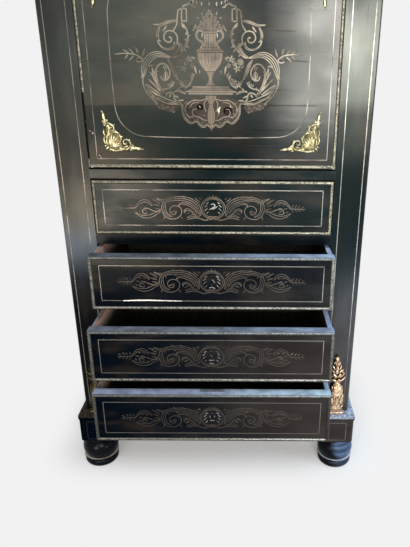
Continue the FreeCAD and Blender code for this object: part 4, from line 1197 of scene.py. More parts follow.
ARM += bundle(
    [(27, -17), (30, -4), (36, 8), (51, 17.5), (69, 20.5), (88, 19), (104, 15), (120, 20.5)],
    (2, 7, 9, 9, 8, 7, 6, 1), 3, 1.3)
ARM += bundle([(34, -12), (42, 0), (54, 8), (66, 10), (73, 6), (71, 2)], (1, 3, 4, 3, 2, 1), 2, 1.2)
ARM += bundle([(38, -17), (46, -7), (55, -3), (61, -6), (60, -11)], (1, 2.6, 3.4, 2, 1), 2, 1.1)
ARM += bundle([(30, -19), (42, -16), (56, -21)], (1, 4, 1), 2, 1.1)
ARM += bundle([(101, 12), (103, 3), (102.5, -7), (97, -15), (88, -19)], (1, 3.6, 4, 3, 1), 2, 1.2)
ARM += bundle(
    [(130, 4), (135, 11.5), (144, 15), (154, 12.5), (161, 5.5), (166, -0.5)], (1, 4, 5, 4.4, 3, 1), 2,
    1.3)
ARM += bundle(
    [(112, -8), (122, -12), (130, -16.5), (142, -19.5), (155, -17.5), (166, -11)], (2, 5, 6, 6, 4, 1), 2,
    1.3)
ARM_LEAVES = [
    ((77, -6), (92, -10), 5), ((110, -4), (127, 0), 6), ((116, 12), (132, 20), 5),
    ((111, 8), (125, 15), 5), ((112, 3), (131, 9), 5), ((104, -16), (107, -28), 5),
    ((70, -18), (65, -27), 4), ((58, 20), (66, 28), 4), ((76, 21), (85, 27), 4), ((44, 14), (46, 23), 4),
    ((47, -9), (60, -15), 4), ((53, -3), (63, -9), 3.4), ((146, 6), (155, 9), 3.8),
    ((136, 5), (146, 9.5), 3.8), ((149, -2), (160, 1), 4), ((150, -14), (153, -7), 3.8),
    ((134, -15), (132, -9), 3.8), ((154, -11), (162, -6), 3.8), ((23, 18), (32, 23), 3.4),
    ((138, -4), (149, 2), 4.6), ((139, -8), (151, -5), 4.2), ((94, 6), (98, 13), 3.6),
    ((70, 12), (80, 14), 3.6), ((3, 19), (9, 28), 4.4), ((6, 18), (15, 24.5), 4),
    ((9, 16), (20, 20), 3.4), ((167, 0), (172, 11), 3.8), ((174, 0), (180, 10.5), 3.8),
    ((180, 0), (187, 9), 3.6), ((187, -1), (195, 6), 3.2), ((167, -1), (173, -10.5), 3.8),
    ((174, -1), (181, -10), 3.8), ((180, -1), (188, -8.5), 3.6), ((187, -1), (196, -6.5), 3.2),
]
arm_leaves = flat_leaves(ARM_LEAVES) + rosette((81, -8), 5, 6, 3.6)
middle_leaves = [flat_leaf((0, 17), (0, 31), 6.5)] + rosette((0, -22), 3.4, 6, 3)
CARTOUCHE = oval(26.0, 23.0, (0.0, -0.5), 12)
LINING = oval(22.5, 20.0, (0.0, -0.5), 12)
scrolls = ARM + mirrored_strokes(ARM) + [(CARTOUCHE, (1.4, 1.4)), (LINING, (0.9, 0.9))]
sprigs = arm_leaves + mirrored_sprigs(arm_leaves) + middle_leaves
scroll_mesh = ribbon_mesh("drawer_scrolls", scrolls, drawer_inlay)
sprig_mesh = leaf_mesh("drawer_leaves", sprigs, drawer_inlay)
FRIEZE_SHRINK = 0.8
for name in DRAWERS:
    for kind, mesh in (("scrolls", scroll_mesh), ("leaves", sprig_mesh)):
        placed = laid_on(mesh, (0.0, 0.0, 0.0))
        if name == "frieze_drawer":
            placed.transform(Matrix.Diagonal((FRIEZE_SHRINK, 1.0, FRIEZE_SHRINK, 1.0)))
        placed.transform(Matrix.Translation(keyholes[name]))
        fix(name + "_inlaid_" + kind, placed, name, "bead_brass")

# Curls and raised strokes round each keyhole, in pale inlay: painted glints in the cartouche.
CURLS = [
    ((19, -7), (11, 1), 2), ((19, 1), (11, 8), 2.4), ((16, 9), (8, 13), 2), ((15, -13), (9, -7), 1.8),
]
KEY_GLINTS = {
    "drawer_1": [[(-5, 8), (2, 9), (4, 5), (-1, 1), (-8, -3)], [(-3, -2), (3, 0), (9, 4)]],
    "drawer_2": [[(1, 5), (6, -2)], [(-6, -14), (0, -12.5), (7, -15)]],
    "drawer_3": [[(-2, 5), (2, -1)], [(-6, -8), (0, -9), (6, -8)], [(-4, -15), (4, -17)]],
    "drawer_4": [[(-5, 6), (-4, 1)], [(5, 6), (5, 2)], [(-5, -6), (0, -6.5), (5, -6)]],
    "frieze_drawer": [[(-4, 5), (-3, 1)], [(4, 5), (4, 2)]],
}
KEY_GLINT_WIDTHS = (1.2, 2.0, 1.2)
KEY_GLINT_PROUD = 1.1
curls = flat_leaves(CURLS)
curl_mesh = leaf_mesh("cartouche_curls", curls + mirrored_sprigs(curls), pale_glint_inlay)
for name, chips in KEY_GLINTS.items():
    fix(name + "_inlaid_curls", laid_on(curl_mesh, keyholes[name]), name, "bead_brass")
    strokes = [(points, KEY_GLINT_WIDTHS) for points in chips]
    mesh = ribbon_mesh("lining", strokes, pale_glint_inlay, KEY_GLINT_PROUD, 0.0)
    fix(name + "_key_glints", laid_on(mesh, keyholes[name]), name, "lock_brass")
print("drawer inlay:", len(scrolls), "strokes and", len(sprigs), "leaves on each front")

# %% [markdown]
# ## Leaf inlay
# The leaf shows a vase of flowers on a stepped bracket, with straps above and two large scrolls a side.
# The scrolls and sprigs are drawn for the left half and mirrored. The vase, the bracket and the pendant
# lie on the middle line: most are strokes that run downwards, with the outline given as widths.

# %% Leaf inlay, side scrolls
def on_leaf(name, mesh, slot="bead_brass", *replaced):
    """Lay a drawing's mesh on the front of the leaf, as a piece that rides on it."""
    fix(name, laid_on(mesh, LEAF_ORIGIN), "leaf", slot, *replaced)


SIDE = [
    ([(-28, 309.5), (-40, 304.5), (-51, 300)], (2.6, 2.6)),
    ([(-58.5, 294.5), (-60, 285), (-61, 277)], (2.2, 2.2)), ([(-58.5, 294.5), (-50, 298)], (2, 2)),
    ([(-51.5, 297.5), (-52.5, 275.5)], (2, 2)), ([(-43, 297.5), (-43, 275.5)], (2, 2)),
    ([(-52, 297), (-42.5, 297)], (2, 2)), ([(-53, 276), (-42.5, 276)], (2, 2)),
    ([(-61, 276.5), (-70, 276), (-78, 274), (-86, 271), (-92, 269.5), (-106, 270)], (2, 4, 5, 4, 3.4, 1)),
    ([(-94, 266), (-98, 258), (-99.5, 250), (-98, 244), (-93.5, 240)], (2, 4, 4.4, 3.4, 1)),
    ([(-100, 248), (-98.5, 239), (-93, 231.5), (-84, 227), (-75, 227.5), (-68.5, 232), (-67.5, 240)],
      (1.4, 2, 2.6, 3, 3.4, 4, 2)),
    ([(-68.5, 258), (-63.5, 253), (-61.5, 246), (-63, 238), (-67, 233)], (2, 2.2, 2.2, 2)),
    ([(-68.5, 258), (-76, 259.5), (-83, 257), (-87, 250.5), (-86.5, 244), (-82, 240), (-76.5, 239.5),
      (-73, 243), (-74, 247.5), (-78, 248)], (2, 2.2, 2.2, 2.2, 2.2, 2)),
    ([(-60.5, 276), (-63, 268), (-69, 259)], (1.8, 1.8)),
    ([(-67.5, 232), (-63.5, 236), (-58.5, 237), (-55, 233.5), (-57, 229), (-60, 223), (-66, 217),
      (-74, 213)], (2, 2.4, 3, 4, 6, 6.5, 4.5, 2)),
    ([(-53, 273), (-48, 268), (-43.5, 261), (-41.5, 253), (-42, 245), (-44.5, 237), (-49, 230),
      (-54, 224), (-60, 218), (-67, 213), (-76, 212)],
      (1.6, 2.6, 2.6, 2.2, 3, 3.6, 3.6, 2.6, 2.2, 2, 1.6)),
    ([(-132.5, 176), (-132.5, 166), (-130, 156), (-125, 147), (-118.5, 139), (-111, 132), (-106, 127)],
      (2.4, 2.4, 2.8, 2.4, 2)),
    ([(-120, 141.5), (-110, 138.5), (-98, 133.5), (-86, 129), (-73, 127), (-61, 128)],
      (2, 3, 3.6, 3.6, 3, 1.6)),
    ([(-90, 141), (-95, 150), (-101, 160), (-105.5, 172), (-107, 183), (-105, 192), (-99.5, 199),
      (-92, 201.5), (-85, 198.5), (-80, 191), (-79, 182.5), (-82, 175), (-88, 171), (-94, 172.5),
      (-96.5, 179)], (4, 3, 2.6, 2.4, 2.4, 2.4, 2.2, 2, 2)),
    ([(-97, 153), (-89, 155), (-81, 157), (-75, 161.5), (-71, 168)], (1.6, 2, 2, 1.6)),
    ([(-82, 209), (-76, 200), (-72, 190), (-68, 181), (-63.5, 171.5)], (2, 6, 6.5, 5.5, 1)),
    ([(-92, 143), (-101, 155), (-108, 168), (-112, 181), (-113, 194)], (2.4, 2.2, 2, 1.8)),
    ([(-112, 197.5), (-118, 197), (-124, 192)], (1.6, 2.2, 1.2)),
    ([(-92, 143), (-84, 147.5), (-77, 148), (-73, 144), (-72, 137), (-66, 130), (-58, 127)],
      (2, 2.6, 3, 2.6, 2.6, 3.4, 2.4)),
    ([(-72, 150), (-66, 151.5), (-58, 150), (-50, 146)], (1.6, 3.4, 4, 2)),
    ([(-128, 207), (-140, 215.5), (-150, 218), (-165, 219), (-184, 217.5)], (2.4, 2, 1.8, 1.4, 1)),
    ([(-144, 206), (-139, 204), (-133, 205), (-131, 209)], (1.2, 2, 2, 1.4)),
    ([(-32, 183), (-37, 172), (-45, 160), (-58, 163)], (2, 2, 2)),
    ([(-57, 126), (-57.5, 116), (-56, 107), (-51.5, 98.5), (-44, 91.5), (-38.5, 90.5), (-33, 93.5),
      (-27, 92), (-22.5, 86.5), (-15, 83.5), (-8, 87), (0, 79)],
      (2.4, 2.8, 3.2, 4, 4.2, 3, 2.6, 3.2, 3.8, 4, 3, 2)),
    ([(-13, 258), (-19, 259.5), (-24.5, 256), (-25, 248.5), (-21, 243.5), (-15.5, 240.5), (-14, 235),
      (-18, 229)], (2.2, 3, 3.4, 3, 2.8, 3.4, 3, 1.6)),
    ([(-31, 314), (-33, 307), (-30, 301), (-25, 299)], (3.6, 3.4, 3, 1.6)),
]
FROND = [
    (-74, 212), (-88, 215.5), (-100, 218), (-111, 215), (-120, 208), (-126.5, 198), (-130, 187),
    (-132, 174),
]
SIDE += bundle(FROND, (1.5, 6, 9, 11, 12, 11.5, 9, 2), 4, 1.4)
SIDE += bundle(
    [(-64, 129), (-86, 133), (-106, 141), (-119, 151), (-127, 164)], (1.5, 5, 6.5, 5, 1.5), 2, 1.4)
SIDE_LEAVES = [
    ((-80, 269), (-90, 256), 5.5), ((-54, 271), (-44, 262), 7), ((-47, 252), (-40.5, 258), 5),
    ((-62, 236), (-53, 231), 5), ((-130, 183), (-137, 172.5), 5), ((-88, 170), (-87, 190), 15),
    ((-92, 199), (-86.5, 186), 3), ((-87.5, 199), (-84.5, 189), 2.4), ((-107, 186), (-101, 188), 3),
    ((-93, 156), (-88, 159), 3), ((-93, 145), (-126, 178), 6.5), ((-96, 152), (-121, 192), 6.5),
    ((-101, 162), (-114, 197), 5.5), ((-96, 142), (-128, 166), 6), ((-101, 141), (-126, 155), 5),
    ((-105, 172), (-107, 194), 4), ((-52, 204), (-44, 196), 5), ((-58, 208), (-62, 199), 5),
    ((-146, 218), (-157.5, 229.5), 4), ((-155, 219), (-170, 227), 4), ((-138, 217), (-143, 232), 4),
    ((-131, 212), (-124, 231), 4), ((-146, 216), (-159, 204), 4.4), ((-157, 217.5), (-167, 208), 4.4),
    ((-136, 212), (-144, 208), 3.4), ((-168, 219), (-184, 217.5), 3.4), ((-66, 200), (-50, 209), 4.4),
    ((-65, 203), (-58, 213), 4), ((-63, 199), (-49, 203), 4), ((-66, 198), (-58, 193), 4),
    ((-31, 199), (-27, 180), 6), ((-21, 192), (-21, 181), 3), ((-37, 214), (-29, 211), 5),
    ((-34, 207), (-28, 214), 4), ((-40, 183), (-34, 169), 5), ((-37, 186), (-31, 178), 4),
    ((-45, 172), (-37, 176), 4), ((-52, 168), (-46, 173), 4), ((-45, 161), (-52, 154), 4),
    ((-56, 167), (-64, 171), 4), ((-72, 165), (-78, 171), 4), ((-82, 158), (-84, 166), 4),
    ((-60, 158), (-66, 153), 4), ((-43, 248), (-35, 253), 4), ((-43, 242), (-50, 246), 4),
    ((-46, 234), (-39, 229), 4), ((-50, 228), (-44, 222), 4), ((-60, 219), (-53, 214), 4),
    ((-72, 143), (-62, 138), 6), ((-66, 134), (-52, 134), 6), ((-78, 146), (-84, 138), 5),
    ((-55, 125), (-54, 111), 3), ((-51, 121), (-50, 108), 3.4), ((-44, 124), (-46, 133), 5),
    ((-46, 106), (-40, 97), 5), ((-30, 101), (-26, 94), 4), ((-38, 131), (-30, 138), 5),
    ((-14, 257), (-15, 246), 5), ((-24, 271), (-31, 262), 4), ((-27, 264), (-34, 258), 4),
    ((-18, 280), (-25, 283), 4), ((-13, 285), (-15, 294), 4), ((-14, 310), (-14, 300), 6),
    ((-24, 311), (-23, 303), 5), ((-8, 316), (-11, 332), 7), ((-16, 315), (-23, 328), 7),
]
side_leaves = flat_leaves(SIDE_LEAVES)
STARS = (
    (-52, 193, 9), (-41, 210, 8), (-58, 206, 7), (-55, 163, 8), (-45, 168, 7), (-36, 198, 6),
    (-46, 203, 6), (-78, 163, 5),
)
for number, (x, y, radius) in enumerate(STARS):
    side_leaves += rosette((x, y), radius, 5, 0.55 * radius, 0.5 * number)
BERRIES = (
    (-108, 127), (-103, 121), (-97, 124.5), (-92, 119), (-86, 121), (-81, 115), (-76, 119.5),
    (-75, 112.5), (-97, 118.5),
)
for x, y in BERRIES:
    side_leaves += rosette((x, y), 3.6, 5, 3.4)
BOUQUET_ROWS = ((262, 26), (268, 22), (274, 18.5), (280, 14.5), (286, 9), (291, 4))
for number, (y, reach) in enumerate(BOUQUET_ROWS):
    count = max(1, round(reach / 6.5))
    for step in range(count):
        centre = (-reach * (step + 0.5) / count, y + 1.5 * (step % 2))
        side_leaves += rosette(centre, 4.2, 5, 3.2, 0.7 * (number + step))
scrolls = SIDE + mirrored_strokes(SIDE)
sprigs = side_leaves + mirrored_sprigs(side_leaves)
on_leaf("leaf_inlaid_scrolls", ribbon_mesh("leaf_scrolls", scrolls, leaf_inlay))
on_leaf("leaf_inlaid_leaves", leaf_mesh("leaf_leaves", sprigs, sprig_inlay))
print("leaf inlay:", len(scrolls), "strokes and", len(sprigs), "leaves")

# %% Leaf inlay, vase and bracket
SHELL = [
    (-60, 131), (-57, 120), (-57, 108), (-51, 98), (-43, 92), (-34, 94), (-26, 92), (-20, 86), (-12, 85),
    (-5, 86), (0, 80),
]
SHELL = SHELL + [(-x, y) for x, y in reversed(SHELL[:-1])] + [
    (46, 137), (24, 142), (-24, 142), (-46, 137)]
HUSK_BED = [
    (-110, 130), (-104, 119), (-94, 114.5), (-82, 111), (-71, 112), (-64, 122), (-72, 124.5),
    (-86, 126.5), (-99, 131),
]
beds = [SHELL, HUSK_BED, [(-x, y) for x, y in reversed(HUSK_BED)]]
SHELL_PROUD = 0.12
on_leaf("leaf_inlaid_shell", slab("shell", beds, SHELL_PROUD, smoky_inlay))
VASE = [
    ([(0, 258.5), (0, 255.5)], (24, 26)),
    ([(0, 230), (0, 226)], (30, 48)),
    ([(0, 225), (0, 222.4)], (51, 51)),
    ([(0, 186.5), (0, 180), (0, 174), (0, 168), (0, 162)], (14, 7, 5.4, 7, 18)),
    ([(-36, 158.6), (36, 158.6)], (3.4, 3.4)),
    ([(0, 156), (0, 152.6)], (72, 92)),
    ([(-50, 150.4), (50, 150.4)], (2.6, 2.6)),
    ([(-44, 146.6), (44, 146.6)], (2.6, 2.6)),
    ([(0, 143), (0, 136), (0, 127)], (22, 15, 6)),
    ([(0, 126), (0, 117), (0, 108), (0, 97), (0, 89)], (6, 10, 14, 13, 7)),
    ([(0, 88), (0, 76)], (6, 1)),
    ([(-33, 314), (-16, 316), (0, 317), (16, 316), (33, 314)], (4, 6, 6, 6, 4)),
]
for step in range(-2, 3):
    VASE.append(([(4.9 * step, 254.5), (4.6 * step, 243), (5.4 * step, 231)], (3.2, 3.0, 3.6)))
for step in range(-3, 4):
    VASE.append(
        ([(7.0 * step, 220.5), (6.6 * step, 209), (4.9 * step, 198), (2.4 * step, 188)],
          (5.6, 5.2, 4.0, 1.6)))
SHELL_LINES = [
    ([(-8, 138), (-20, 134), (-34, 134), (-46, 128), (-52, 118), (-50, 108), (-42, 102), (-33, 104)],
      (1.2, 1.6, 1.6, 1.2, 1)),
    ([(-8, 96), (-16, 97), (-24, 102), (-33, 104), (-38, 110), (-35, 117), (-29, 117)],
      (1, 1.6, 1.6, 1.4, 1)), ([(-9, 112), (-13, 120), (-13, 130), (-8, 136)], (1, 1.6, 1.2)),
    ([(-41, 121), (-38, 127), (-31, 130), (-24, 130)], (1, 1.6, 1.2, 1)),
]
VASE += SHELL_LINES + mirrored_strokes(SHELL_LINES)
vase_leaves = []
for step in range(-4, 5):
    vase_leaves.append(flat_leaf((5.6 * step, 225.5), (5.6 * step, 231 - 0.4 * abs(step)), 3.6, 0.5))
vase_leaves += rosette((0, 266), 6.5, 8, 4) + rosette((0, 276), 5.5, 7, 3.6)
vase_leaves += [
    flat_leaf((0, 289), (-1, 298), 4.8), flat_leaf((0, 309), (0, 301), 6),
    flat_leaf((0, 317), (0, 336), 8),
]
for step in range(6):
    vase_leaves += [
        flat_leaf((0, 88 + 8 * step), (across * (9 - step), 96 + 8 * step), 4.0)
        for across in (1, -1)]
SHELL_LEAVES = [
    ((-38, 126), (-48, 116), 4), ((-30, 98), (-39, 95), 4), ((-14, 92), (-23, 90), 4),
    ((-10, 104), (-19, 108), 4), ((-44, 112), (-50, 103), 4), ((-26, 133), (-36, 138), 4),
    ((-46, 132), (-56, 126), 5), ((-42, 106), (-36, 99), 4),
]
shell_leaves = flat_leaves(SHELL_LEAVES)
vase_leaves += shell_leaves + mirrored_sprigs(shell_leaves)
HOLES = (((-22, 121), 7.0), ((33, 114), 9.0))
LOSS_PROUD = 0.16
holes = []
for (x, y), radius in HOLES:
    vase_leaves += rosette((x - 1, y - 3), 0.6 * radius, 5, 0.3 * radius)
    holes.append(oval(radius, 0.9 * radius, (x, y), 16)[:-1])
on_leaf("leaf_inlay_losses", slab("losses", holes, LOSS_PROUD, gap_black), "ebonised_wood")
on_leaf("leaf_inlaid_vase", ribbon_mesh("vase", VASE, rose_inlay))
on_leaf("leaf_inlaid_flowers", leaf_mesh("vase_leaves", vase_leaves, rose_inlay))
# Gilt leaves in the shell: a bright leaf right of the middle, which also stands where a glint shows, and
# two small ones by the holes that are painted glints.
BRIGHT = (
    ((15, 121), (15, 106), 6.0), ((15, 118), (20, 123), 4.0), ((-25, 124), (-19, 120), 2.6),
    ((40, 120), (37, 126), 2.4),
)
BRIGHT_PROUD = 0.6
bright = [flat_leaf(base, tip, width, BRIGHT_PROUD) for base, tip, width in BRIGHT]
on_leaf("leaf_inlaid_bright_leaf", leaf_mesh("bright_leaf", bright, gilt_bronze), "gilt_bronze")
print("vase:", len(VASE), "strokes and", len(vase_leaves), "leaves")

# %% [markdown]
# ## Corner mounts
# Gilt-bronze castings of leaves and scrolls sit in the corners of the leaf. Each is a thin plate with
# tubes for the scrolls and leaves laid over each other, and the plate's gilt is darkened as painted
# shade. The ribbon and leaf trees make them as well, with a round section and more height. One corner
# is drawn in millimetres from its own corner, and turned over for the other three.

# %% Helpers for castings
def turned_strokes(strokes, flip, origin):
    """Strokes turned over across or down, and moved."""
    moved = []
    for points, widths in strokes:
        spots = [(origin[0] + flip[0] * x, origin[1] + flip[1] * y, z) for x, y, z in points]
        moved.append((spots, widths))
    return moved


def turned_sprigs(sprigs, flip, origin):
    moved = []
    for (x, y, z), (tilt, roll, turn), size in sprigs:
        turn = math.pi - turn if flip[0] < 0 else turn
        turn = -turn if flip[1] < 0 else turn
        moved.append(((origin[0] + flip[0] * x, origin[1] + flip[1] * y, z), (tilt, roll, turn), size))
    return moved


def joined(name, meshes):
    """One mesh of several, each with its own finish."""
    shape = bmesh.new()
    finishes = []
    for mesh in meshes:
        if mesh.materials[0] not in finishes:
            finishes.append(mesh.materials[0])
        first = len(shape.faces)
        shape.from_mesh(mesh)
        shape.faces.ensure_lookup_table()
        for face in shape.faces[first:]:
            face.material_index = finishes.index(mesh.materials[0])
    whole = bpy.data.meshes.new(name)
    shape.to_mesh(whole)
    shape.free()
    for finish in finishes:
        whole.materials.append(finish)
    return whole


# %% Corner mounts
MOUNT_X = -219.0
MOUNT_IN_Z = 34.0
MOUNT_LIFTS = (0.5, 0.85, 1.2)
MOUNT_RELIEF = 2.4
MOUNT_BEAD_LIFT = 0.3
MOUNT_BEAD_RELIEF = 3.0
PLATE_PROUD = 0.9
MOUNT_TUBES = [
    ([(3, 53, 1.2), (9, 55.5, 1.4), (15, 54, 1.6), (20.5, 50, 1.6), (22, 44.5, 1.6), (18.5, 40.5, 1.4),
      (14, 42, 1.4), (14, 46.5, 1.6), (17.5, 47.5, 1.8)], (3, 4, 4.2, 4, 3.8, 3.4, 3, 2.6, 2.4)),
    ([(11, 52, 0.8), (11.5, 44, 1.0), (10, 36, 1.0), (7, 28, 1.0), (5, 20, 1.0), (6.5, 13, 0.8)],
      (3, 3.6, 3.8, 3.6, 3.4, 3)), ([(1.5, 44, 0.6), (0.5, 37, 0.8), (2.5, 31, 0.6)], (2.4, 3.4, 2.4)),
    ([(1.5, 30, 0.6), (0, 23, 0.8), (2.5, 15.5, 0.6)], (2.6, 4, 2.6)),
    ([(17, 38, 1.0), (24, 38.5, 1.4), (30.5, 35.5, 1.4), (34, 29.5, 1.4), (35, 24, 1.2),
      (32.5, 19.5, 1.0)], (2.4, 3.6, 3.8, 3.6, 3, 2.4)),
    ([(30, 7, 0.8), (38, 4.5, 1.0), (46, 4.5, 1.2), (52.5, 9.5, 1.4), (53.5, 16, 1.4), (49.5, 22, 1.4),
      (44, 23.5, 1.4), (39.5, 20.5, 1.4), (40, 15.5, 1.4), (44, 14.5, 1.6), (46, 17.5, 1.8)],
      (2.6, 3.6, 3.8, 4, 4, 3.8, 3.6, 3.2, 2.8, 2.4, 2)),
    ([(10, 5.5, 0.8), (17, 2, 1.0), (25, 1.2, 1.0), (33, 3.5, 1.0), (38, 6, 0.8)],
      (2.4, 3.6, 4, 3.4, 2.4)),
]
MOUNT_LEAVES = [
    ((12.5, 8.5), (33, 12), 5.4), ((12.5, 8.5), (33, 17.5), 5.4), ((12.5, 8.5), (31.5, 23.5), 5.4),
    ((12.5, 8.5), (28, 29.5), 5.4), ((12.5, 8.5), (22.5, 33.5), 5.4), ((12.5, 8.5), (16, 35), 5),
    ((12.5, 8.5), (10.5, 32), 4.6), ((4, 47), (4, 70), 10), ((4, 59), (1.5, 79), 7.5),
    ((7, 55), (10.5, 64), 4), ((2, 55), (-0.8, 62), 4), ((49, 8), (71, 5.5), 10),
    ((61, 6.5), (79, 4), 7.5), ((53, 12), (61, 12), 4), ((50, 4), (58, 1.5), 4), ((9, 10.6), (1.5, 2), 6),
    ((6, 12.5), (-0.8, 9.5), 4.5), ((12.5, 6), (9.5, -0.8), 4.5), ((22, 38), (26, 42.5), 4.4),
    ((33, 28), (39, 30), 4.4), ((49, 21), (54, 24), 4), ((20, 50), (24, 54), 4), ((8, 30), (14, 37), 4),
    ((3, 26), (9, 33), 4), ((26, 3), (38, 2), 4), ((40, 9), (50, 11), 4), ((9, 46), (9, 54), 4),
]
MOUNT_BEADS = (
    (0.5, 78, 4.2), (2.8, 72, 3.8), (5, 60.5, 4.2), (3.4, 52.5, 4.6), (57.7, 10.6, 4.2), (61.5, 9.2, 4.2),
    (66, 5.6, 4.6), (60, 3.6, 3.8), (72.7, 5.6, 4.0), (78, 4.2, 3.8), (17.4, 46.6, 3.4),
    (45.6, 17.2, 3.2), (12.5, 9.5, 5),
)
MOUNT_PLATE = [
    (9, 7), (4, 16), (4, 30), (7, 50), (13, 52), (19, 47), (14, 39), (22, 36), (31, 31), (34, 22),
    (36, 9), (46, 12), (51, 9), (46, 5), (30, 3), (18, 3),
]
# The plate is gilt darkened as painted shade, for the recess under the tubes.
shaded_recess_gilt = old_metal(
    "shaded_recess_gilt", (0.10, 0.09, 0.045, 1), (0.04, 0.04, 0.02, 1), (0.015, 0.014, 0.008, 1), 200.0, 0.4,
    0.004)
corner_leaves = []
for number, (base, tip, width) in enumerate(MOUNT_LEAVES):
    corner_leaves.append(flat_leaf(base, tip, width, MOUNT_RELIEF, MOUNT_LIFTS[number % 3]))
for x, y, size in MOUNT_BEADS:
    ends = ((x - size / 2, y), (x + size / 2, y))
    corner_leaves.append(flat_leaf(*ends, size, MOUNT_BEAD_RELIEF, MOUNT_BEAD_LIFT))
tubes = []
sprigs = []
plates = []
for across in (1, -1):
    for up in (1, -1):
        origin = (across * MOUNT_X, MOUNT_IN_Z if up > 0 else leaf_h - MOUNT_IN_Z)
        tubes += turned_strokes(MOUNT_TUBES, (across, up), origin)
        sprigs += turned_sprigs(corner_leaves, (across, up), origin)
        plates.append([(origin[0] + across * x, origin[1] + up * y) for x, y in MOUNT_PLATE])
meshes = [
    slab("mount_plates", plates, PLATE_PROUD, shaded_recess_gilt),
    ribbon_mesh("mount_tubes", tubes, gilt_bronze, 0.2, 1.2, crown=0.8, cuts=3, smooth=True),
    leaf_mesh("mount_leaves", sprigs, gilt_bronze, sink=0.35, smooth=True),
]
on_leaf("corner_mounts", joined("corner_mounts", meshes), "gilt_bronze", "leaf_corner_mounts")
print("corner mounts:", len(tubes), "tubes and", len(sprigs), "leaves")

# %% [markdown]
# ## Stile mounts
# On the plinth, in front of each stile, stands a small gilt vase with a flame of leaves; the left one
# is darkened as painted shade. The body is turned: a profile swept round an upright line, with four
# sides for the stepped base. The leaves stand round it in tiers, so each is placed by its angle, its
# height and how far it leans out.

# %% Stile mounts
def lathe(name, profile, sides, finish, start=0.0):
    """A turned body from radius and height pairs."""
    shape = bmesh.new()
    rings = []
    for radius, height in profile:
        angles = [start + 2 * math.pi * index / sides for index in range(sides)]
        spots = [(radius * MM * math.cos(a), radius * MM * math.sin(a), height * MM) for a in angles]
        rings.append([shape.verts.new(spot) for spot in spots])
    for low, high in zip(rings, rings[1:]):
        for index in range(sides):
            shape.faces.new((low[index - 1], low[index], high[index], high[index - 1]))
    shape.faces.new(rings[0])
    shape.faces.new(rings[-1])
    bmesh.ops.recalc_face_normals(shape, faces=shape.faces)
    for face in shape.faces:
        face.smooth = sides > 4
    mesh = bpy.data.meshes.new(name)
    shape.to_mesh(mesh)
    shape.free()
    mesh.materials.append(finish)
    return mesh


def standing_leaf(angle, radius, height, lean, size):
    """A leaf that stands at an angle round an upright line and leans out."""
    out = Vector((math.cos(angle), math.sin(angle), 0.0))
    up = Vector((0.0, 0.0, 1.0))
    along = up * math.cos(lean) + out * math.sin(lean)
    face = out * math.cos(lean) - up * math.sin(lean)
    turn = Matrix((along, face.cross(along), face)).transposed().to_euler()
    return tuple(out * radius + up * height), tuple(turn), size


BASE_STEPS = [(15.0, 0), (15.0, 4.0), (13.8, 5.5), (13.8, 8.0), (14.8, 10.0), (14.8, 13.0)]
BODY = [
    (14.0, 13), (14.6, 15), (13.0, 17), (12.4, 22), (12.4, 46), (13.2, 52), (14.2, 55), (12.8, 57),
    (14.0, 61), (13.2, 68), (10.0, 76), (6.2, 83), (7.4, 85), (6.0, 87), (4.6, 92), (4.6, 104),
    (5.4, 116), (4.6, 126), (3.2, 138), (1.8, 149), (0.8, 158),
]
TIERS = [
    (8, 12.4, 20, 0.02, (30, 9, 2.6), 0.0), (8, 12.4, 40, 0.12, (14, 8, 2.6), 0.39),
    (9, 13.4, 58, -0.22, (22, 8, 2.6), 0.0), (8, 9.0, 74, -0.4, (12, 6, 2.2), 0.39),
    (8, 4.6, 86, 0.62, (22, 13, 3.2), 0.2), (7, 5.0, 94, 0.42, (26, 14, 3.2), 0.6),
    (7, 5.4, 103, 0.24, (24, 12, 3.0), 0.1), (6, 5.4, 114, 0.12, (22, 10, 2.8), 0.5),
    (6, 4.4, 126, -0.03, (20, 7, 2.4), 0.0), (5, 2.8, 138, -0.07, (19, 5, 2.0), 0.3),
    (8, 12.8, 14, 0.1, (10, 8, 2.2), 0.2),
]
MOUNT_LEAN = math.radians(2.0)
FLATTENED = Matrix.Diagonal((1.1, 0.5, 1.0, 1.0))
STILE_MOUNT_X = 294.0
BODY_SIDES = 20
# The left mount is gilt darkened as painted shade.
shaded_gilt = old_metal(
    "shaded_gilt", (0.065, 0.055, 0.030, 1), (0.035, 0.028, 0.015, 1), (0.012, 0.010, 0.006, 1), 120.0,
    0.42, 0.006)
base_gilt = old_metal(
    "base_gilt", (0.50, 0.37, 0.27, 1), (0.20, 0.115, 0.065, 1), (0.010, 0.006, 0.004, 1), 260.0, 0.4,
    0.004)
tiers = []
for count, radius, height, lean, size, start in TIERS:
    tiers += [
        standing_leaf(start + 2 * math.pi * n / count, radius, height, lean, size)
        for n in range(count)]
base = [(half * math.sqrt(2), height) for half, height in BASE_STEPS]
low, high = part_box("stile_mounts")
meshes = []
for across, finish, base_finish in ((1, copper_gilt, base_gilt), (-1, shaded_gilt, shaded_gilt)):
    castings = [
        lathe("base", base, 4, base_finish, math.pi / 4),
        lathe("body", BODY, BODY_SIDES, finish),
        leaf_mesh("tiers", tiers, finish, sink=0.5, curl=1.2, smooth=True),
    ]
    stand = Vector((across * STILE_MOUNT_X * MM, (low[1] + high[1]) / 2, low[2]))
    tilt = Matrix.Rotation(-across * MOUNT_LEAN, 4, "Y")
    for casting in castings:
        casting.transform(Matrix.Translation(stand) @ tilt @ FLATTENED)
    meshes += castings
fix(
    "stile_mounts_dressed", joined("stile_mounts_dressed", meshes), "carcass", "gilt_bronze",
    "stile_mounts")
print("stile mounts:", sum(tier[0] for tier in TIERS), "leaves each")

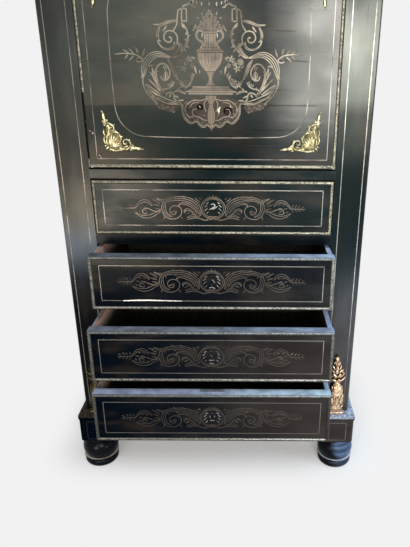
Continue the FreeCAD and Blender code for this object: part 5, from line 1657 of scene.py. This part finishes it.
# %% [markdown]
# ## Bead of the leaf, and what is missing from it
# A half-round bead runs round the leaf. On the left its lower part has come off, which leaves a gap,
# shown as a black sheet of painted shade, and a few pale chips. So this bead is made again from straight
# strokes, and the left one stops above the gap. A black strip under the rail over the first drawer is a
# painted shadow line.

# %% Bead of the leaf
BEAD_W = 7.0
BEAD_PROUD = 3.0
BEAD_BREAK = 148.0
half_leaf = LEAF_HIGH[0] / MM
edge = half_leaf - BEAD_W / 2
rods = [
    straight((-half_leaf, BEAD_W / 2), (half_leaf, BEAD_W / 2), BEAD_W),
    straight((-half_leaf, leaf_h - BEAD_W / 2), (half_leaf, leaf_h - BEAD_W / 2), BEAD_W),
    straight((edge, 0), (edge, leaf_h), BEAD_W),
    straight((-edge, BEAD_BREAK), (-edge, leaf_h), BEAD_W),
]
crown = 2 * BEAD_PROUD / BEAD_W
bead = ribbon_mesh("leaf_bead_dressed", rods, bead_brass, 0.0, 0.0, crown=crown, cuts=7, smooth=True)
LOOSE_END = ((1.6, 19, 0.8), (1.4, 14, 1.6), (2.2, 7, 2.4), (5, 2.5, 3.2), (9, 2.6, 3.2), (12.5, 5, 3.0))
loose_path = [(x - half_leaf, y, z) for x, y, z in LOOSE_END]
loose = ribbon_mesh("loose_end", [(loose_path, (1.4, 2.2, 2.4, 2.2, 1.4))], string_brass)
on_leaf("leaf_bead_loose_end", loose)
on_leaf("leaf_bead_dressed", bead, "bead_brass", "leaf_bead")

BARE_WOOD = ((0.34, 0.27, 0.24, 1), (0.16, 0.13, 0.115, 1))
bare_chip = blotted("bare_chip", 0.2, 400.0, (0.35, 0.65), BARE_WOOD, 0.7)
# The gap is a black sheet laid on the wood: painted shade where the bead is missing.
GAP = ((0.0, 3.0), (3.4, 3.0), (3.0, 60), (3.6, 100), (3.0, BEAD_BREAK), (0.0, BEAD_BREAK))
GAP_PROUD = 0.2
CHIP_T = 0.5
gap = slab("gap", [[(x - half_leaf, y) for x, y in GAP]], GAP_PROUD, gap_black)
CHIPS_AT = (
    (-241, 70, 4.2), (-245.5, 74, 2.6), (-253, 14, 2.6), (-251.5, 5, 3.4), (-248, 8, 2.2),
    (-252.6, 92, 1.4),
)
chips = []
for number, (x, y, size) in enumerate(CHIPS_AT):
    reach = [(0.5 + 0.22 * math.sin(2.4 * number + 1.9 * corner)) * size for corner in range(6)]
    chips.append(
        [(x + r * math.cos(math.pi * c / 3), y + r * math.sin(math.pi * c / 3))
        for c, r in enumerate(reach)])
lost = joined("bead_loss", [gap, slab("chips", chips, CHIP_T, bare_chip)])
on_leaf("leaf_bead_loss", lost, "ebonised_wood")
# A black strip on the lower edge of the rail over the first drawer: a painted shadow line, wider on the
# left.
SHADE_PROUD = 0.06
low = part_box("rail_below_leaf")[0]
rail_low = low[2] / MM
shade = [
    (-half_leaf, rail_low), (half_leaf, rail_low), (half_leaf, rail_low + 0.5),
    (-half_leaf, rail_low + 1.6),
]
mesh = laid_on(slab("shade", [shade], SHADE_PROUD, gap_black), (0.0, low[1], 0.0))
fix("rail_painted_shadow", mesh, "carcass", "ebonised_wood")
print("bead: broken", BEAD_BREAK, "mm above the leaf's lower edge,", len(chips), "chips")

# %% [markdown]
# ## Key plates and leather
# The keyhole plates are black like the wood round them, so only the lock behind stays brass. The plate
# and the lock are one node of the frame, so a copy of its mesh gets three finishes: black on the front,
# a bluish grey on what faces up behind it, and brass elsewhere. The writing leather is inside, out of the
# picture's sight, and gets the two gilt lines that are usual round it.

# %% Key plates
EDGE_GREYS = ((0.10, 0.112, 0.13, 1), (0.17, 0.185, 0.21, 1))
SLACK = 1e-5
lock_edge = blotted("lock_edge", 0.4, 160.0, (0.35, 0.65), EDGE_GREYS, 0.5)
for name in DRAWERS:
    source = nodes[name + "_lock"]
    mesh = source.data.copy()
    mesh.transform(source.matrix_world)
    mesh.materials.clear()
    for finish in (lock_brass, level_polish, lock_edge):
        mesh.materials.append(finish)
    shape = bmesh.new()
    shape.from_mesh(mesh)
    bmesh.ops.remove_doubles(shape, verts=shape.verts, dist=1e-6)
    for face in shape.faces:
        on_front = face.calc_center_median().y < fronts[name][1] + SLACK
        looks_up = face.normal.z > 0.9
        face.material_index = 1 if on_front else 2 if looks_up else 0
    shape.to_mesh(mesh)
    shape.free()
    fix(name + "_lock_dressed", mesh, name, "lock_brass", name + "_lock")
print("key plates:", len(DRAWERS))

# %% Leather
low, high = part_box("writing_leather")
middle = ((low[0] + high[0]) / 2, high[1], (low[2] + high[2]) / 2)
half_x = (high[0] - low[0]) / MM / 2
half_z = (high[2] - low[2]) / MM / 2
TOOLED = ((10, 1.6), (15, 0.8))
lines = []
for inset, width in TOOLED:
    lines += line_frame(half_x - inset, inset - half_z, half_z - inset, width)
tooling = ribbon_mesh("tooling", lines, gilt_bronze, 0.1, 0.2)
tooling.transform(Matrix.Translation(middle) @ Matrix.Rotation(math.pi, 4, "Z") @ UPRIGHT)
fix("leather_tooling", tooling, "leaf", "gilt_bronze")
print("leather: tooled with", len(lines), "lines")

# %% [markdown]
# ## Strips on the back
# The picture doesn't show the back. Such a back is made of boards that shrink, so light would show
# through the joints, and a cabinet-maker glues paper over them. Each strip is a thin plate on the
# outside of the back, since paper lies flat and needs no more.

# %% Joint strips
FOXED = ((0.10, 0.075, 0.045, 1), (0.05, 0.036, 0.022, 1))
STRIP_W = 18.0
STRIP_T = 0.15
STRIP_SHORT = 6.0
BACK_BOARDS = 4
old_paper = blotted("old_paper", 0.15, 60.0, (0.35, 0.7), FOXED, 0.8)
low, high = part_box("back_boards")
pitch = (high[0] - low[0]) / MM / BACK_BOARDS
foot = low[2] / MM + STRIP_SHORT
head = high[2] / MM - STRIP_SHORT
strips = []
for joint in range(1, BACK_BOARDS):
    left = low[0] / MM + joint * pitch - STRIP_W / 2
    right = left + STRIP_W
    strips.append([(left, foot), (right, foot), (right, head), (left, head)])
mesh = laid_on(slab("joint_strips", strips, STRIP_T, old_paper), (0.0, high[1] + STRIP_T * MM, 0.0))
fix("back_joint_strips", mesh, "carcass", "secondary_wood")
